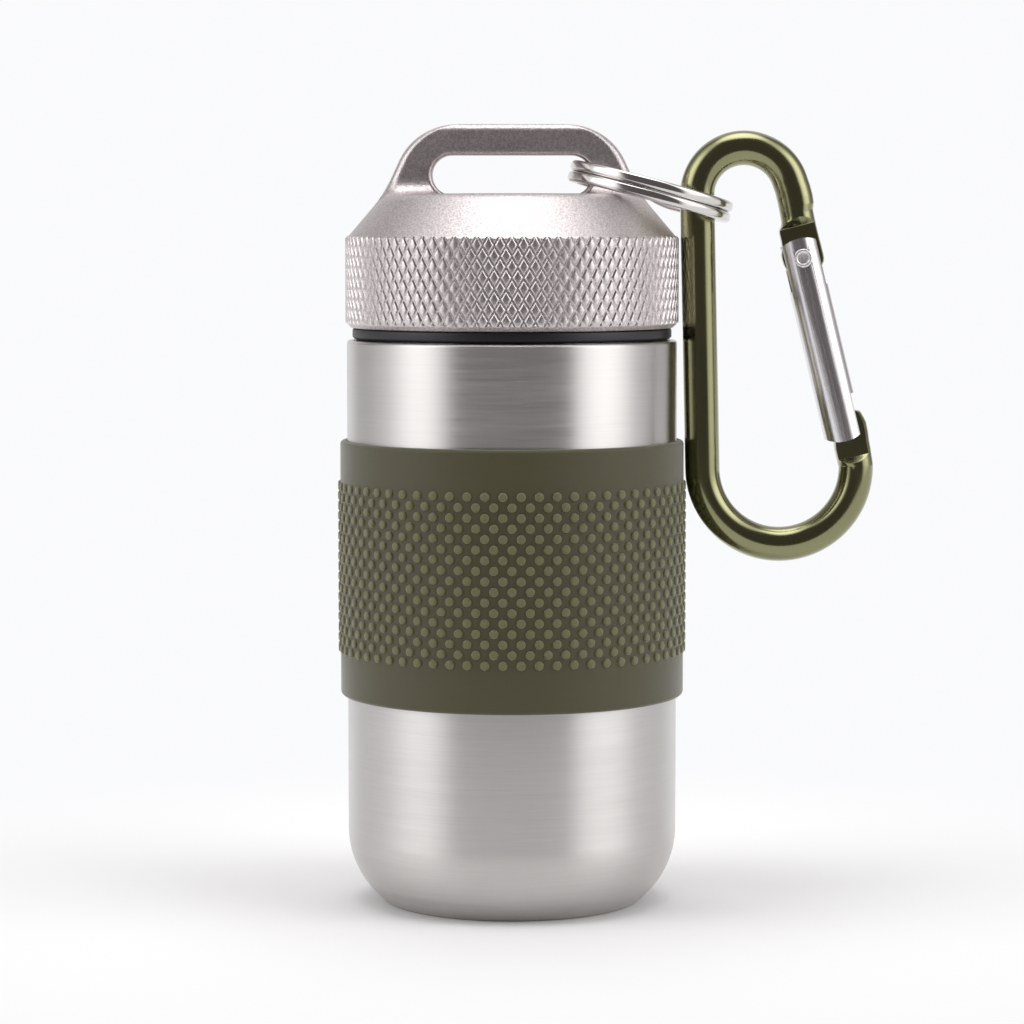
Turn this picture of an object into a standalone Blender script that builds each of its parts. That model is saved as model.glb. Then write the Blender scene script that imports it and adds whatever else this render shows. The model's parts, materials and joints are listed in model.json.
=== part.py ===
# Waterproof storage capsule: a steel canister with a screw cap, a split ring and a carabiner.
# Metres, +Z up. The origin is the middle of the base. The handle lies along X, and the carabiner is at +X.

from math import asin, atan, atan2, copysign, cos, pi, radians, sin, sqrt, tan

import bpy
import bmesh
from mathutils import Matrix, Vector

MM = 0.001

# Canister
BODY_DIAMETER = 38.1 * MM
BODY_HEIGHT = 65.1 * MM
BODY_WALL = 0.8 * MM
BASE_THICKNESS = 1.0 * MM
CORNER_RADIUS = 10.5 * MM
CORNER_CENTRE_HEIGHT = 8.5 * MM
BASE_EDGE_ROUND = 0.6 * MM
RIM_ROUND = 0.35 * MM

# Neck and its seals
NECK_WALL = 1.2 * MM
NECK_HEIGHT = 10.0 * MM
NECK_SPIGOT = 6.0 * MM
NECK_CHAMFER = 0.5 * MM
GASKET_SET_BACK = 0.65 * MM
GASKET_SPACE = 1.45 * MM
GASKET_BEVEL = 0.3 * MM
SEAL_THICKNESS = 1.7 * MM
SEAL_BAND = 2.8 * MM

# Grip sleeve
SLEEVE_BOTTOM = 24.1 * MM
SLEEVE_HEIGHT = 29.45 * MM
SLEEVE_PROUD = 0.81 * MM
SLEEVE_EDGE_ROUND = 0.4 * MM

# Cap
CAP_OVERHANG = 0.15 * MM
CAP_WALL = 1.8 * MM
SKIRT_HEIGHT = 10.05 * MM
SKIRT_CHAMFER = 0.65 * MM
BORE_CHAMFER = 0.3 * MM
CROWN_HEIGHT = 5.2 * MM
CONE_ANGLE = radians(40.5)
CROWN_EDGE_ROUND = 2.5 * MM
CROWN_THICKNESS = 2.4 * MM
RECESS_INSET = 3.9 * MM

# Handle
HANDLE_RISE = 8.0 * MM
HANDLE_THICKNESS = 5.5 * MM
HANDLE_SIDE_ANGLE = radians(24.8)
HANDLE_CORNER_RADIUS = 7.2 * MM
HANDLE_FOOT_BLEND = 15.7 * MM
HANDLE_EDGE_ROUND = 0.85 * MM
HANDLE_FRONT_FILLET = 2.1 * MM
PILLAR_WIDTH = 5.6 * MM
EYE_HEIGHT = 4.55 * MM
EYE_SINK = 0.05 * MM

# Split ring
RING_WIRE_WIDTH = 1.5 * MM
RING_WIRE_HEIGHT = 1.05 * MM
RING_COIL_GAP = 0.42 * MM
RING_WIRE_ROUND = 0.3 * MM
RING_PLAY = 1.1 * MM
RING_TILT = radians(15.0)
RING_ROLL = radians(0.5)
RING_STEP_ANGLE = radians(22.0)

# Carabiner
CARABINER_LENGTH = 50.0 * MM
ROD_DIAMETER = 4.0 * MM
TOP_BEND_RADIUS = 5.35 * MM
BOTTOM_BEND_RADIUS = 8.88 * MM
CARABINER_RISE = 1.95 * MM
SWING_DROP = 0.4 * MM
GATE_INSET = 0.43 * MM
RIVET_DROP = 8.7 * MM
WEB_THICKNESS = 2.1 * MM
STEP_SLOPE = radians(45.0)
STEP_LEAD = 0.25 * MM
HINGE_STEP = 3.5 * MM
TONGUE_RADIUS = 2.38 * MM
TONGUE_LEAD = 0.65 * MM
TONGUE_ROUND_END = radians(262.0)
CAM_REACH = 2.72 * MM
CAM_ANGLE = radians(38.0)
CAM_ROUND = 0.3 * MM
NOSE_LENGTH = 5.0 * MM
NOSE_STEP_GAP = 1.85 * MM
NOSE_BULGE = 0.15 * MM
NOSE_TIP_ROUND = 0.75 * MM

# Gate
GATE_DIAMETER = 4.54 * MM
GATE_LENGTH = 23.75 * MM
GATE_HEAD = 2.2 * MM
GATE_END_CHAMFER = 0.25 * MM
FORK_DEPTH = 5.73 * MM
NOSE_SLOT_LENGTH = 5.1 * MM
SLOT_CLEARANCE = 0.15 * MM
SPRING_BORE_DIAMETER = 2.3 * MM
SPRING_BORE_DEPTH = 9.0 * MM
RIVET_SHANK_DIAMETER = 1.3 * MM
RIVET_HEAD_DIAMETER = 1.85 * MM
RIVET_HEAD_HEIGHT = 0.35 * MM
RIVET_DIMPLE_DIAMETER = 1.2 * MM
RIVET_DIMPLE_DEPTH = 0.15 * MM
RIVET_SEAT_DEPTH = 0.2 * MM
PLUNGER_LENGTH = 2.6 * MM
PLUNGER_NOSE_ROUND = 0.2 * MM
SPRING_WIRE = 0.3 * MM
SPRING_TURNS = 8

# Gaps between pieces, and how far a cutter reaches past what it cuts
SEAT_GAP = 0.1 * MM
RUNNING_GAP = 0.15 * MM
THREAD_ROOM = 0.6 * MM
SPINE_GAP = 0.12 * MM
SLEEVE_ROOM = 0.08 * MM
OVERRUN = 1.0 * MM

# Facets
ROUND_STEPS = 64
SMALL_STEPS = 20
FILLET_STEPS = 4
CORNER_STEPS = 8
RING_STEPS = 28
TOP_BEND_STEPS = 16
BOTTOM_BEND_STEPS = 22
SPRING_STEPS = 10
ROD_RESOLUTION = 6
SPRING_RESOLUTION = 1
MERGE_DISTANCE = 0.001 * MM
SHARP_ANGLE = radians(35.0)

# Worked out: canister and neck
BODY_RADIUS = BODY_DIAMETER / 2
BODY_BORE_RADIUS = BODY_RADIUS - BODY_WALL
CORNER_CENTRE_RADIUS = BODY_RADIUS - CORNER_RADIUS
SPIGOT_RADIUS = BODY_BORE_RADIUS - SEAT_GAP
CAP_RADIUS = BODY_RADIUS + CAP_OVERHANG
CAP_BORE_RADIUS = CAP_RADIUS - CAP_WALL
NECK_RADIUS = CAP_BORE_RADIUS - THREAD_ROOM
NECK_BORE_RADIUS = NECK_RADIUS - NECK_WALL
NECK_TOP = BODY_HEIGHT + NECK_HEIGHT
GASKET_RADIUS = BODY_RADIUS - GASKET_SET_BACK
SLEEVE_RADIUS = BODY_RADIUS + SLEEVE_PROUD
SLEEVE_REACH = SLEEVE_RADIUS + SLEEVE_ROOM

# Worked out: cap and handle
SKIRT_BOTTOM = BODY_HEIGHT + GASKET_SPACE
SKIRT_TOP = SKIRT_BOTTOM + SKIRT_HEIGHT
CROWN_TOP = SKIRT_TOP + CROWN_HEIGHT
CROWN_RADIUS = CAP_RADIUS - CROWN_HEIGHT * tan(CONE_ANGLE)
SEAL_BOTTOM = NECK_TOP + SEAT_GAP
CAP_LEDGE = SEAL_BOTTOM + SEAL_THICKNESS + SEAT_GAP
RECESS_RADIUS = CAP_BORE_RADIUS - RECESS_INSET
CAP_CEILING = CROWN_TOP - CROWN_THICKNESS
HANDLE_TOP = CROWN_TOP + HANDLE_RISE
EYE_END = CROWN_RADIUS - PILLAR_WIDTH
EYE_RADIUS = EYE_HEIGHT / 2
EYE_CENTRE = CROWN_TOP + EYE_RADIUS - EYE_SINK

# Worked out: split ring, which reaches from inside the eye to round the carabiner's spine
ROD_RADIUS = ROD_DIAMETER / 2
RING_HEIGHT = 2 * RING_WIRE_HEIGHT + RING_COIL_GAP
RING_PITCH = RING_WIRE_HEIGHT + RING_COIL_GAP
RING_SLANT = RING_HEIGHT / 2 * sin(RING_TILT)
SPINE_OUTSIDE = CAP_RADIUS + SPINE_GAP + ROD_DIAMETER
RING_INSIDE_RIGHT = SPINE_OUTSIDE + RUNNING_GAP + RING_SLANT
RING_INSIDE_LEFT = EYE_END - RING_PLAY
RING_INNER_RADIUS = (RING_INSIDE_RIGHT - RING_INSIDE_LEFT) / 2 / cos(RING_TILT)
RING_MEAN_RADIUS = RING_INNER_RADIUS + RING_WIRE_WIDTH / 2
RING_CENTRE_X = (RING_INSIDE_RIGHT + RING_INSIDE_LEFT) / 2
CROWN_FLAT_RADIUS = CROWN_RADIUS - CROWN_EDGE_ROUND * tan((pi / 2 - CONE_ANGLE) / 2)
RING_TOUCH_SLOPE = atan(tan(RING_TILT) * CROWN_FLAT_RADIUS / RING_CENTRE_X)
RING_TOUCH_RADIUS = CROWN_FLAT_RADIUS + CROWN_EDGE_ROUND * sin(RING_TOUCH_SLOPE)
RING_TOUCH_X = (RING_TOUCH_RADIUS ** 2 - RING_MEAN_RADIUS ** 2 + RING_CENTRE_X ** 2) / (2 * RING_CENTRE_X)
RING_TOUCH_Y = sqrt(RING_TOUCH_RADIUS ** 2 - RING_TOUCH_X ** 2)
RING_STAND_OFF = RUNNING_GAP + RING_HEIGHT / 2 / cos(RING_TILT)
RING_TOUCH_DROP = CROWN_EDGE_ROUND * (1 - cos(RING_TOUCH_SLOPE))
RING_TOUCH_HEIGHT = CROWN_TOP - RING_TOUCH_DROP + RING_STAND_OFF + RING_TOUCH_Y * sin(RING_ROLL)
RING_CENTRE_HEIGHT = RING_TOUCH_HEIGHT - (RING_CENTRE_X - RING_TOUCH_X) * tan(RING_TILT)
RING_CENTRE = Vector((RING_CENTRE_X, 0, RING_CENTRE_HEIGHT))
RING_ARM = Vector((cos(RING_TILT), 0, -sin(RING_TILT))) * RING_MEAN_RADIUS
RING_RIGHT = RING_CENTRE + RING_ARM
RING_PIVOT = Vector(((RING_CENTRE - RING_ARM).x, 0, EYE_CENTRE))
CARABINER_PIVOT = RING_RIGHT - Vector((0, 0, SWING_DROP))

# Worked out: carabiner, two bends joined by their common tangents, drawn from the top bend's centre
BEND_DISTANCE = CARABINER_LENGTH - ROD_DIAMETER - TOP_BEND_RADIUS - BOTTOM_BEND_RADIUS
TAPER = asin((BOTTOM_BEND_RADIUS - TOP_BEND_RADIUS) / BEND_DISTANCE)
TANGENT_LENGTH = BEND_DISTANCE * cos(TAPER)
SPINE_LEAN = asin((SLEEVE_REACH - CAP_RADIUS) / TANGENT_LENGTH)
CARABINER_LEAN = TAPER + SPINE_LEAN
TOP_BEND_X = CAP_RADIUS + SPINE_GAP + ROD_RADIUS + TOP_BEND_RADIUS
TOP_BEND_HEIGHT = RING_RIGHT.z + CARABINER_RISE
CARABINER_TURN = Matrix.Rotation(-CARABINER_LEAN, 4, "Y")
CARABINER_PLACE = Matrix.Translation((TOP_BEND_X, 0, TOP_BEND_HEIGHT)) @ CARABINER_TURN

# Worked out: gate, drawn from the rivet with +X outwards and +Z up along the gate
GATE_OFFSET = TOP_BEND_RADIUS - GATE_INSET
RIVET_X = GATE_OFFSET * cos(TAPER) + RIVET_DROP * sin(TAPER)
RIVET_Z = GATE_OFFSET * sin(TAPER) - RIVET_DROP * cos(TAPER)
GATE_PLACE = CARABINER_PLACE @ Matrix.Translation((RIVET_X, 0, RIVET_Z)) @ Matrix.Rotation(-TAPER, 4, "Y")
GATE_RADIUS = GATE_DIAMETER / 2
GATE_TOP = GATE_HEAD
GATE_BOTTOM = GATE_HEAD - GATE_LENGTH
FORK_BOTTOM = GATE_TOP - FORK_DEPTH
NOSE_SLOT_TOP = GATE_BOTTOM + NOSE_SLOT_LENGTH
SLOT_WIDTH = WEB_THICKNESS + 2 * SLOT_CLEARANCE
NOSE_STEP = GATE_BOTTOM - NOSE_STEP_GAP
NOSE_TIP = NOSE_STEP + NOSE_LENGTH
WEB_INSIDE = GATE_INSET - ROD_RADIUS + RUNNING_GAP
WEB_OUTSIDE = GATE_INSET + ROD_RADIUS
SPRING_BORE_RADIUS = SPRING_BORE_DIAMETER / 2
SPRING_BORE_BOTTOM = FORK_BOTTOM - SPRING_BORE_DEPTH
PLUNGER_RADIUS = SPRING_BORE_RADIUS - RUNNING_GAP
PLUNGER_TOP = -TONGUE_RADIUS - RUNNING_GAP
SPRING_RADIUS = PLUNGER_RADIUS - SPRING_WIRE / 2


def clear_scene():
    """Remove whatever the opened scene holds."""
    for obj in list(bpy.data.objects):
        bpy.data.objects.remove(obj, do_unlink=True)


def new_collection(name):
    """Make a collection under the scene's own."""
    collection = bpy.data.collections.new(name)
    bpy.context.scene.collection.children.link(collection)
    return collection


def make_material(name, colour, roughness, metallic):
    """Make a plain Principled material."""
    material = bpy.data.materials.new(name)
    material.use_nodes = True
    shader = material.node_tree.nodes["Principled BSDF"]
    shader.inputs["Base Color"].default_value = (*colour, 1.0)
    shader.inputs["Roughness"].default_value = roughness
    shader.inputs["Metallic"].default_value = metallic
    return material


def arc_points(centre_x, centre_y, radius, start, end, steps):
    """Points on an arc from one angle to another, both ends included."""
    angles = [start + (end - start) * i / steps for i in range(steps + 1)]
    return [(centre_x + radius * cos(a), centre_y + radius * sin(a)) for a in angles]


def rounded(corners, closed=False, steps=FILLET_STEPS):
    """Turn corners (x, y, fillet radius) into a line with round corners."""
    points = []
    last = len(corners) - 1
    for index, (x, y, fillet) in enumerate(corners):
        corner = Vector((x, y))
        if fillet == 0 or (not closed and index in (0, last)):
            points.append((x, y))
            continue
        before = Vector(corners[index - 1][:2]) - corner
        after = Vector(corners[(index + 1) % len(corners)][:2]) - corner
        half_angle = before.angle(after) / 2
        start = corner + before.normalized() * fillet / tan(half_angle)
        centre = corner + (before.normalized() + after.normalized()).normalized() * fillet / sin(half_angle)
        first = start - centre
        turn = pi - 2 * half_angle
        if before.x * after.y - before.y * after.x > 0:
            turn = -turn
        angle = atan2(first.y, first.x)
        points += arc_points(centre.x, centre.y, fillet, angle, angle + turn, steps)
    return points


def place(obj, collection, material, matrix=None, parent=None):
    """Link an object, give it its material and place, and hang it on its empty."""
    collection.objects.link(obj)
    if material is not None:
        obj.data.materials.append(material)
    if parent is not None:
        obj.parent = parent
        obj.matrix_parent_inverse = parent.matrix_world.inverted()
    if matrix is not None:
        obj.matrix_world = matrix
    return obj


def turned_mesh(name, profile, steps):
    """Turn a profile (radius, height) about Z. It runs from the top down its outer side."""
    mesh = bpy.data.meshes.new(name)
    edges = [(i, i + 1) for i in range(len(profile) - 1)]
    mesh.from_pydata([(r, 0, z) for r, z in profile], edges, [])
    obj = bpy.data.objects.new(name, mesh)
    screw = obj.modifiers.new("turn", "SCREW")
    screw.axis = "Z"
    screw.steps = steps
    screw.render_steps = steps
    screw.use_merge_vertices = True
    screw.merge_threshold = MERGE_DISTANCE
    return obj


def plate_mesh(name, outline, thickness):
    """Extrude a flat outline in X and Z by a thickness along Y."""
    curve = bpy.data.curves.new(name, "CURVE")
    curve.dimensions = "2D"
    curve.fill_mode = "BOTH"
    curve.extrude = thickness / 2
    spline = curve.splines.new("POLY")
    spline.points.add(len(outline) - 1)
    for point, (x, z) in zip(spline.points, outline):
        point.co = (x, z, 0, 1)
    spline.use_cyclic_u = True
    return bpy.data.objects.new(name, curve)


def tube_curve(name, points, radius, resolution):
    """A round wire or rod along points."""
    curve = bpy.data.curves.new(name, "CURVE")
    curve.dimensions = "3D"
    curve.bevel_depth = radius
    curve.bevel_resolution = resolution
    curve.use_fill_caps = True
    spline = curve.splines.new("POLY")
    spline.points.add(len(points) - 1)
    for point, position in zip(spline.points, points):
        point.co = (*position, 1)
    return bpy.data.objects.new(name, curve)


def as_mesh(obj, collection):
    """Replace a curve or a modified object in a collection with its own closed mesh."""
    if obj.name not in collection.objects:
        collection.objects.link(obj)
    bpy.context.view_layer.update()
    evaluated = obj.evaluated_get(bpy.context.evaluated_depsgraph_get())
    mesh = bpy.data.meshes.new_from_object(evaluated)
    shape = bmesh.new()
    shape.from_mesh(mesh)
    bmesh.ops.remove_doubles(shape, verts=shape.verts, dist=MERGE_DISTANCE)
    bmesh.ops.recalc_face_normals(shape, faces=shape.faces)
    shape.to_mesh(mesh)
    shape.free()
    name = obj.name
    matrix = obj.matrix_world.copy()
    bpy.data.objects.remove(obj, do_unlink=True)
    made = bpy.data.objects.new(name, mesh)
    made.matrix_world = matrix
    mesh.name = name
    return made


def as_cutter(obj, cutters, matrix):
    """Keep an object as a hidden cutter."""
    made = as_mesh(obj, cutters)
    cutters.objects.link(made)
    made.matrix_world = matrix
    made.hide_render = True
    made.display_type = "WIRE"
    return made


def combine(obj, other, operation):
    """Cut or join an object with a cutter."""
    boolean = obj.modifiers.new(other.name, "BOOLEAN")
    boolean.operation = operation
    boolean.solver = "EXACT"
    boolean.object = other


def shade(obj):
    """Smooth shading, with sharp edges kept."""
    obj.data.shade_smooth()
    obj.data.set_sharp_from_angle(angle=SHARP_ANGLE)
    return obj


def make_empty(name, collection, position):
    """An empty on a joint's axis."""
    empty = bpy.data.objects.new(name, None)
    collection.objects.link(empty)
    empty.matrix_world = Matrix.Translation(position)
    return empty


def flat(matrix):
    """Turn a plate's own plane upright in a place."""
    return matrix @ Matrix.Rotation(pi / 2, 4, "X")


def build_canister(parts, looks):
    """The drawn cup, the neck fixed in its mouth, the sleeve and the shoulder gasket."""
    base_angle = asin(CORNER_CENTRE_HEIGHT / CORNER_RADIUS)
    base_flat = CORNER_CENTRE_RADIUS + CORNER_RADIUS * cos(base_angle)
    centre = (CORNER_CENTRE_RADIUS, CORNER_CENTRE_HEIGHT)
    outer_arc = arc_points(*centre, CORNER_RADIUS, 0, -base_angle, CORNER_STEPS)
    base_edge = rounded([outer_arc[-2] + (0,), (base_flat, 0, BASE_EDGE_ROUND), (0, 0, 0)])
    inner_radius = CORNER_RADIUS - BODY_WALL
    inner_angle = asin((CORNER_CENTRE_HEIGHT - BASE_THICKNESS) / inner_radius)
    inner_arc = arc_points(*centre, inner_radius, -inner_angle, 0, CORNER_STEPS)
    rim = rounded([
        (BODY_BORE_RADIUS, BODY_HEIGHT, 0),
        (BODY_RADIUS, BODY_HEIGHT, RIM_ROUND),
        (BODY_RADIUS, 0, 0),
    ])
    profile = rim[:-1] + outer_arc[:-1] + base_edge[1:] + [(0, BASE_THICKNESS)] + inner_arc
    profile.append((BODY_BORE_RADIUS, BODY_HEIGHT))
    cup = as_mesh(turned_mesh("body_cup", profile, ROUND_STEPS), parts)
    shade(place(cup, parts, looks["brushed_steel"]))

    neck = rounded([
        (NECK_BORE_RADIUS, NECK_TOP, 0),
        (NECK_RADIUS, NECK_TOP, NECK_CHAMFER),
        (NECK_RADIUS, BODY_HEIGHT, 0),
        (SPIGOT_RADIUS, BODY_HEIGHT, 0),
        (SPIGOT_RADIUS, BODY_HEIGHT - NECK_SPIGOT, 0),
        (NECK_BORE_RADIUS, BODY_HEIGHT - NECK_SPIGOT, 0),
        (NECK_BORE_RADIUS, NECK_TOP, 0),
    ], steps=2)
    ring = as_mesh(turned_mesh("neck_ring", neck, ROUND_STEPS), parts)
    shade(place(ring, parts, looks["turned_steel"]))

    inside = BODY_RADIUS + SEAT_GAP
    top = SLEEVE_BOTTOM + SLEEVE_HEIGHT
    sleeve = rounded([
        (inside, top, 0),
        (SLEEVE_RADIUS, top, SLEEVE_EDGE_ROUND),
        (SLEEVE_RADIUS, SLEEVE_BOTTOM, SLEEVE_EDGE_ROUND),
        (inside, SLEEVE_BOTTOM, 0),
        (inside, top, 0),
    ], steps=3)
    grip = as_mesh(turned_mesh("grip_sleeve", sleeve, ROUND_STEPS), parts)
    shade(place(grip, parts, looks["silicone"]))

    low = BODY_HEIGHT + SEAT_GAP
    high = SKIRT_BOTTOM - SEAT_GAP
    gasket = [
        (NECK_RADIUS + SEAT_GAP, high),
        (GASKET_RADIUS, high),
        (GASKET_RADIUS, low + GASKET_BEVEL),
        (GASKET_RADIUS - GASKET_BEVEL, low),
        (NECK_RADIUS + SEAT_GAP, low),
        (NECK_RADIUS + SEAT_GAP, high),
    ]
    seal = as_mesh(turned_mesh("shoulder_gasket", gasket, ROUND_STEPS), parts)
    shade(place(seal, parts, looks["black_rubber"]))


def handle_side():
    """The handle's right edge, (half length, height), from the cone up to its flat top."""
    foot_depth = HANDLE_FOOT_BLEND * tan((CONE_ANGLE - HANDLE_SIDE_ANGLE) / 2) * cos(CONE_ANGLE) + OVERRUN
    shoulder = CROWN_RADIUS - HANDLE_RISE * tan(HANDLE_SIDE_ANGLE)
    edge = rounded([
        (CROWN_RADIUS + foot_depth * tan(CONE_ANGLE), CROWN_TOP - foot_depth, 0),
        (CROWN_RADIUS, CROWN_TOP, HANDLE_FOOT_BLEND),
        (shoulder, HANDLE_TOP, HANDLE_CORNER_RADIUS),
        (0, HANDLE_TOP, 0),
    ], steps=CORNER_STEPS)
    return edge[1:-1]


def side_at(side, height):
    """The half length of an edge line at a height."""
    for (x0, z0), (x1, z1) in zip(side, side[1:]):
        if z0 <= height <= z1 and z1 > z0:
            return x0 + (x1 - x0) * (height - z0) / (z1 - z0)
    return side[-1][0]


def handle_section(half_length, half_thickness, corner, height):
    """The handle in plan: round corners, and ends that are turned with the cone."""
    x = half_length - corner
    y = half_thickness - corner
    quarter = pi / 2
    points = arc_points(x, y, corner, 0, quarter, FILLET_STEPS)
    points += arc_points(-x, y, corner, quarter, 2 * quarter, FILLET_STEPS)
    points.append((-half_length, 0))
    points += arc_points(-x, -y, corner, 2 * quarter, 3 * quarter, FILLET_STEPS)
    points += arc_points(x, -y, corner, 3 * quarter, 4 * quarter, FILLET_STEPS)
    points.append((half_length, 0))
    turned = []
    for px, py in points:
        drop = half_length - sqrt(half_length ** 2 - py ** 2)
        turned.append((px - copysign(drop, px), py, height))
    return turned


def handle_mesh():
    """Loft the handle from its foot inside the cone to its top, with its front fillets."""
    side = handle_side()
    foot, foot_top = side[0]
    half = HANDLE_THICKNESS / 2
    flare_bottom = CROWN_TOP - CROWN_EDGE_ROUND * (1 - sin(CONE_ANGLE))
    flare_top = CROWN_TOP + HANDLE_FRONT_FILLET
    edge_start = HANDLE_TOP - HANDLE_EDGE_ROUND
    angles = [i * pi / 2 / FILLET_STEPS for i in range(FILLET_STEPS + 1)]
    heights = {foot_top - OVERRUN, flare_bottom}
    heights |= {z for _, z in side if z < edge_start}
    heights |= {CROWN_TOP + HANDLE_FRONT_FILLET * (1 - cos(angle)) for angle in angles}
    heights |= {edge_start + HANDLE_EDGE_ROUND * sin(angle) for angle in angles}
    sections = []
    for height in sorted(heights):
        length = side_at(side, height) if height > foot_top else foot
        flare = 0
        if CROWN_TOP <= height < flare_top:
            rise = flare_top - height
            flare = HANDLE_FRONT_FILLET - sqrt(max(HANDLE_FRONT_FILLET ** 2 - rise ** 2, 0))
        elif flare_bottom < height < CROWN_TOP:
            flare = HANDLE_FRONT_FILLET * (height - flare_bottom) / (CROWN_TOP - flare_bottom)
        pull = 0
        if height > edge_start:
            rise = height - edge_start
            pull = HANDLE_EDGE_ROUND - sqrt(max(HANDLE_EDGE_ROUND ** 2 - rise ** 2, 0))
        corner = HANDLE_EDGE_ROUND + flare
        sections.append(handle_section(length, half + flare - pull, corner, height))
    shape = bmesh.new()
    rings = [[shape.verts.new(p) for p in section] for section in sections]
    for low, high in zip(rings, rings[1:]):
        for i in range(len(low)):
            j = (i + 1) % len(low)
            shape.faces.new((low[i], low[j], high[j], high[i]))
    shape.faces.new(list(reversed(rings[0])))
    shape.faces.new(rings[-1])
    bmesh.ops.remove_doubles(shape, verts=shape.verts, dist=MERGE_DISTANCE)
    bmesh.ops.recalc_face_normals(shape, faces=shape.faces)
    mesh = bpy.data.meshes.new("handle")
    shape.to_mesh(mesh)
    shape.free()
    return bpy.data.objects.new("handle", mesh)


def build_cap(parts, cutters, looks, lift, turn):
    """The seal that rises with the cap, and the cap shell that turns, with its handle and eye."""
    seal_outside = CAP_BORE_RADIUS - SEAT_GAP
    seal_top = SEAL_BOTTOM + SEAL_THICKNESS
    seal_profile = [
        (seal_outside - SEAL_BAND, seal_top),
        (seal_outside, seal_top),
        (seal_outside, SEAL_BOTTOM),
        (seal_outside - SEAL_BAND, SEAL_BOTTOM),
        (seal_outside - SEAL_BAND, seal_top),
    ]
    seal = as_mesh(turned_mesh("cap_seal", seal_profile, ROUND_STEPS), parts)
    shade(place(seal, parts, looks["clear_silicone"], parent=lift))

    outside = rounded([
        (0, CROWN_TOP, 0),
        (CROWN_RADIUS, CROWN_TOP, CROWN_EDGE_ROUND),
        (CAP_RADIUS, SKIRT_TOP, 0),
        (CAP_RADIUS, SKIRT_BOTTOM + SKIRT_CHAMFER, 0),
        (CAP_RADIUS - SKIRT_CHAMFER, SKIRT_BOTTOM, 0),
        (0, SKIRT_BOTTOM, 0),
    ])
    shell = as_mesh(turned_mesh("cap_shell", outside, ROUND_STEPS), parts)
    place(shell, parts, looks["blasted_metal"], parent=turn)

    handle = handle_mesh()
    handle = as_cutter(handle, cutters, Matrix.Identity(4))
    combine(shell, handle, "UNION")

    eye_centre_x = EYE_END - EYE_RADIUS
    eye = arc_points(eye_centre_x, EYE_CENTRE, EYE_RADIUS, -pi / 2, pi / 2, CORNER_STEPS)
    eye += arc_points(-eye_centre_x, EYE_CENTRE, EYE_RADIUS, pi / 2, 3 * pi / 2, CORNER_STEPS)
    eye_depth = HANDLE_THICKNESS + 2 * HANDLE_FRONT_FILLET + 2 * OVERRUN
    eye_cut = as_cutter(plate_mesh("eye_cut", eye, eye_depth), cutters, flat(Matrix.Identity(4)))
    combine(shell, eye_cut, "DIFFERENCE")

    mouth = CAP_BORE_RADIUS + BORE_CHAMFER
    hollow = [
        (0, CAP_CEILING),
        (RECESS_RADIUS, CAP_CEILING),
        (RECESS_RADIUS, CAP_LEDGE),
        (CAP_BORE_RADIUS, CAP_LEDGE),
        (CAP_BORE_RADIUS, SKIRT_BOTTOM + BORE_CHAMFER),
        (mouth, SKIRT_BOTTOM),
        (mouth, SKIRT_BOTTOM - OVERRUN),
        (0, SKIRT_BOTTOM - OVERRUN),
    ]
    hollow_cut = as_cutter(turned_mesh("hollow_cut", hollow, ROUND_STEPS), cutters, Matrix.Identity(4))
    combine(shell, hollow_cut, "DIFFERENCE")
    shade(shell)


def ring_points():
    """The split ring's centre line: two flat turns with one step between them."""
    start = RING_STEP_ANGLE
    end = 4 * pi - RING_STEP_ANGLE
    count = 2 * RING_STEPS
    points = []
    for i in range(count + 1):
        angle = start + (end - start) * i / count
        climb = (angle - (2 * pi - RING_STEP_ANGLE)) / (2 * RING_STEP_ANGLE)
        climb = min(max(climb, 0), 1)
        climb = climb * climb * (3 - 2 * climb)
        height = RING_PITCH * climb - RING_PITCH / 2
        points.append((RING_MEAN_RADIUS * cos(angle), RING_MEAN_RADIUS * sin(angle), height))
    return points


def least_gap(points, reach, thickness):
    """The least distance between turns of a winding, less its thickness."""
    best = None
    for i, first in enumerate(points):
        for second in points[i + reach:]:
            distance = (Vector(first) - Vector(second)).length
            best = distance if best is None else min(best, distance)
    return best - thickness


def build_ring(parts, cutters, looks, pivot):
    """The split ring, one flat-sided wire of two turns."""
    half_width = RING_WIRE_WIDTH / 2
    half_height = RING_WIRE_HEIGHT / 2
    section = bpy.data.curves.new("ring_section", "CURVE")
    section.dimensions = "2D"
    outline = rounded([
        (half_width, half_height, RING_WIRE_ROUND),
        (-half_width, half_height, RING_WIRE_ROUND),
        (-half_width, -half_height, RING_WIRE_ROUND),
        (half_width, -half_height, RING_WIRE_ROUND),
    ], closed=True, steps=1)
    spline = section.splines.new("POLY")
    spline.points.add(len(outline) - 1)
    for point, (x, y) in zip(spline.points, outline):
        point.co = (x, y, 0, 1)
    spline.use_cyclic_u = True
    guide = bpy.data.objects.new("ring_section", section)
    cutters.objects.link(guide)
    guide.hide_render = True
    guide.display_type = "WIRE"

    points = ring_points()
    wire = tube_curve("split_ring", points, 0, 0)
    wire.data.bevel_mode = "OBJECT"
    wire.data.bevel_object = guide
    wire.data.twist_mode = "Z_UP"
    ring = as_mesh(wire, parts)
    roll = Matrix.Rotation(-RING_ROLL, 4, "X")
    turn = Matrix.Rotation(pi / 2, 4, "Z")
    matrix = Matrix.Translation(RING_CENTRE) @ Matrix.Rotation(RING_TILT, 4, "Y") @ roll @ turn
    shade(place(ring, parts, looks["polished_steel"], matrix, pivot))
    turn_gap = least_gap(points, RING_STEPS, RING_WIRE_HEIGHT)
    print("split ring: least gap between its turns", turn_gap / MM, "mm")


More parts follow.
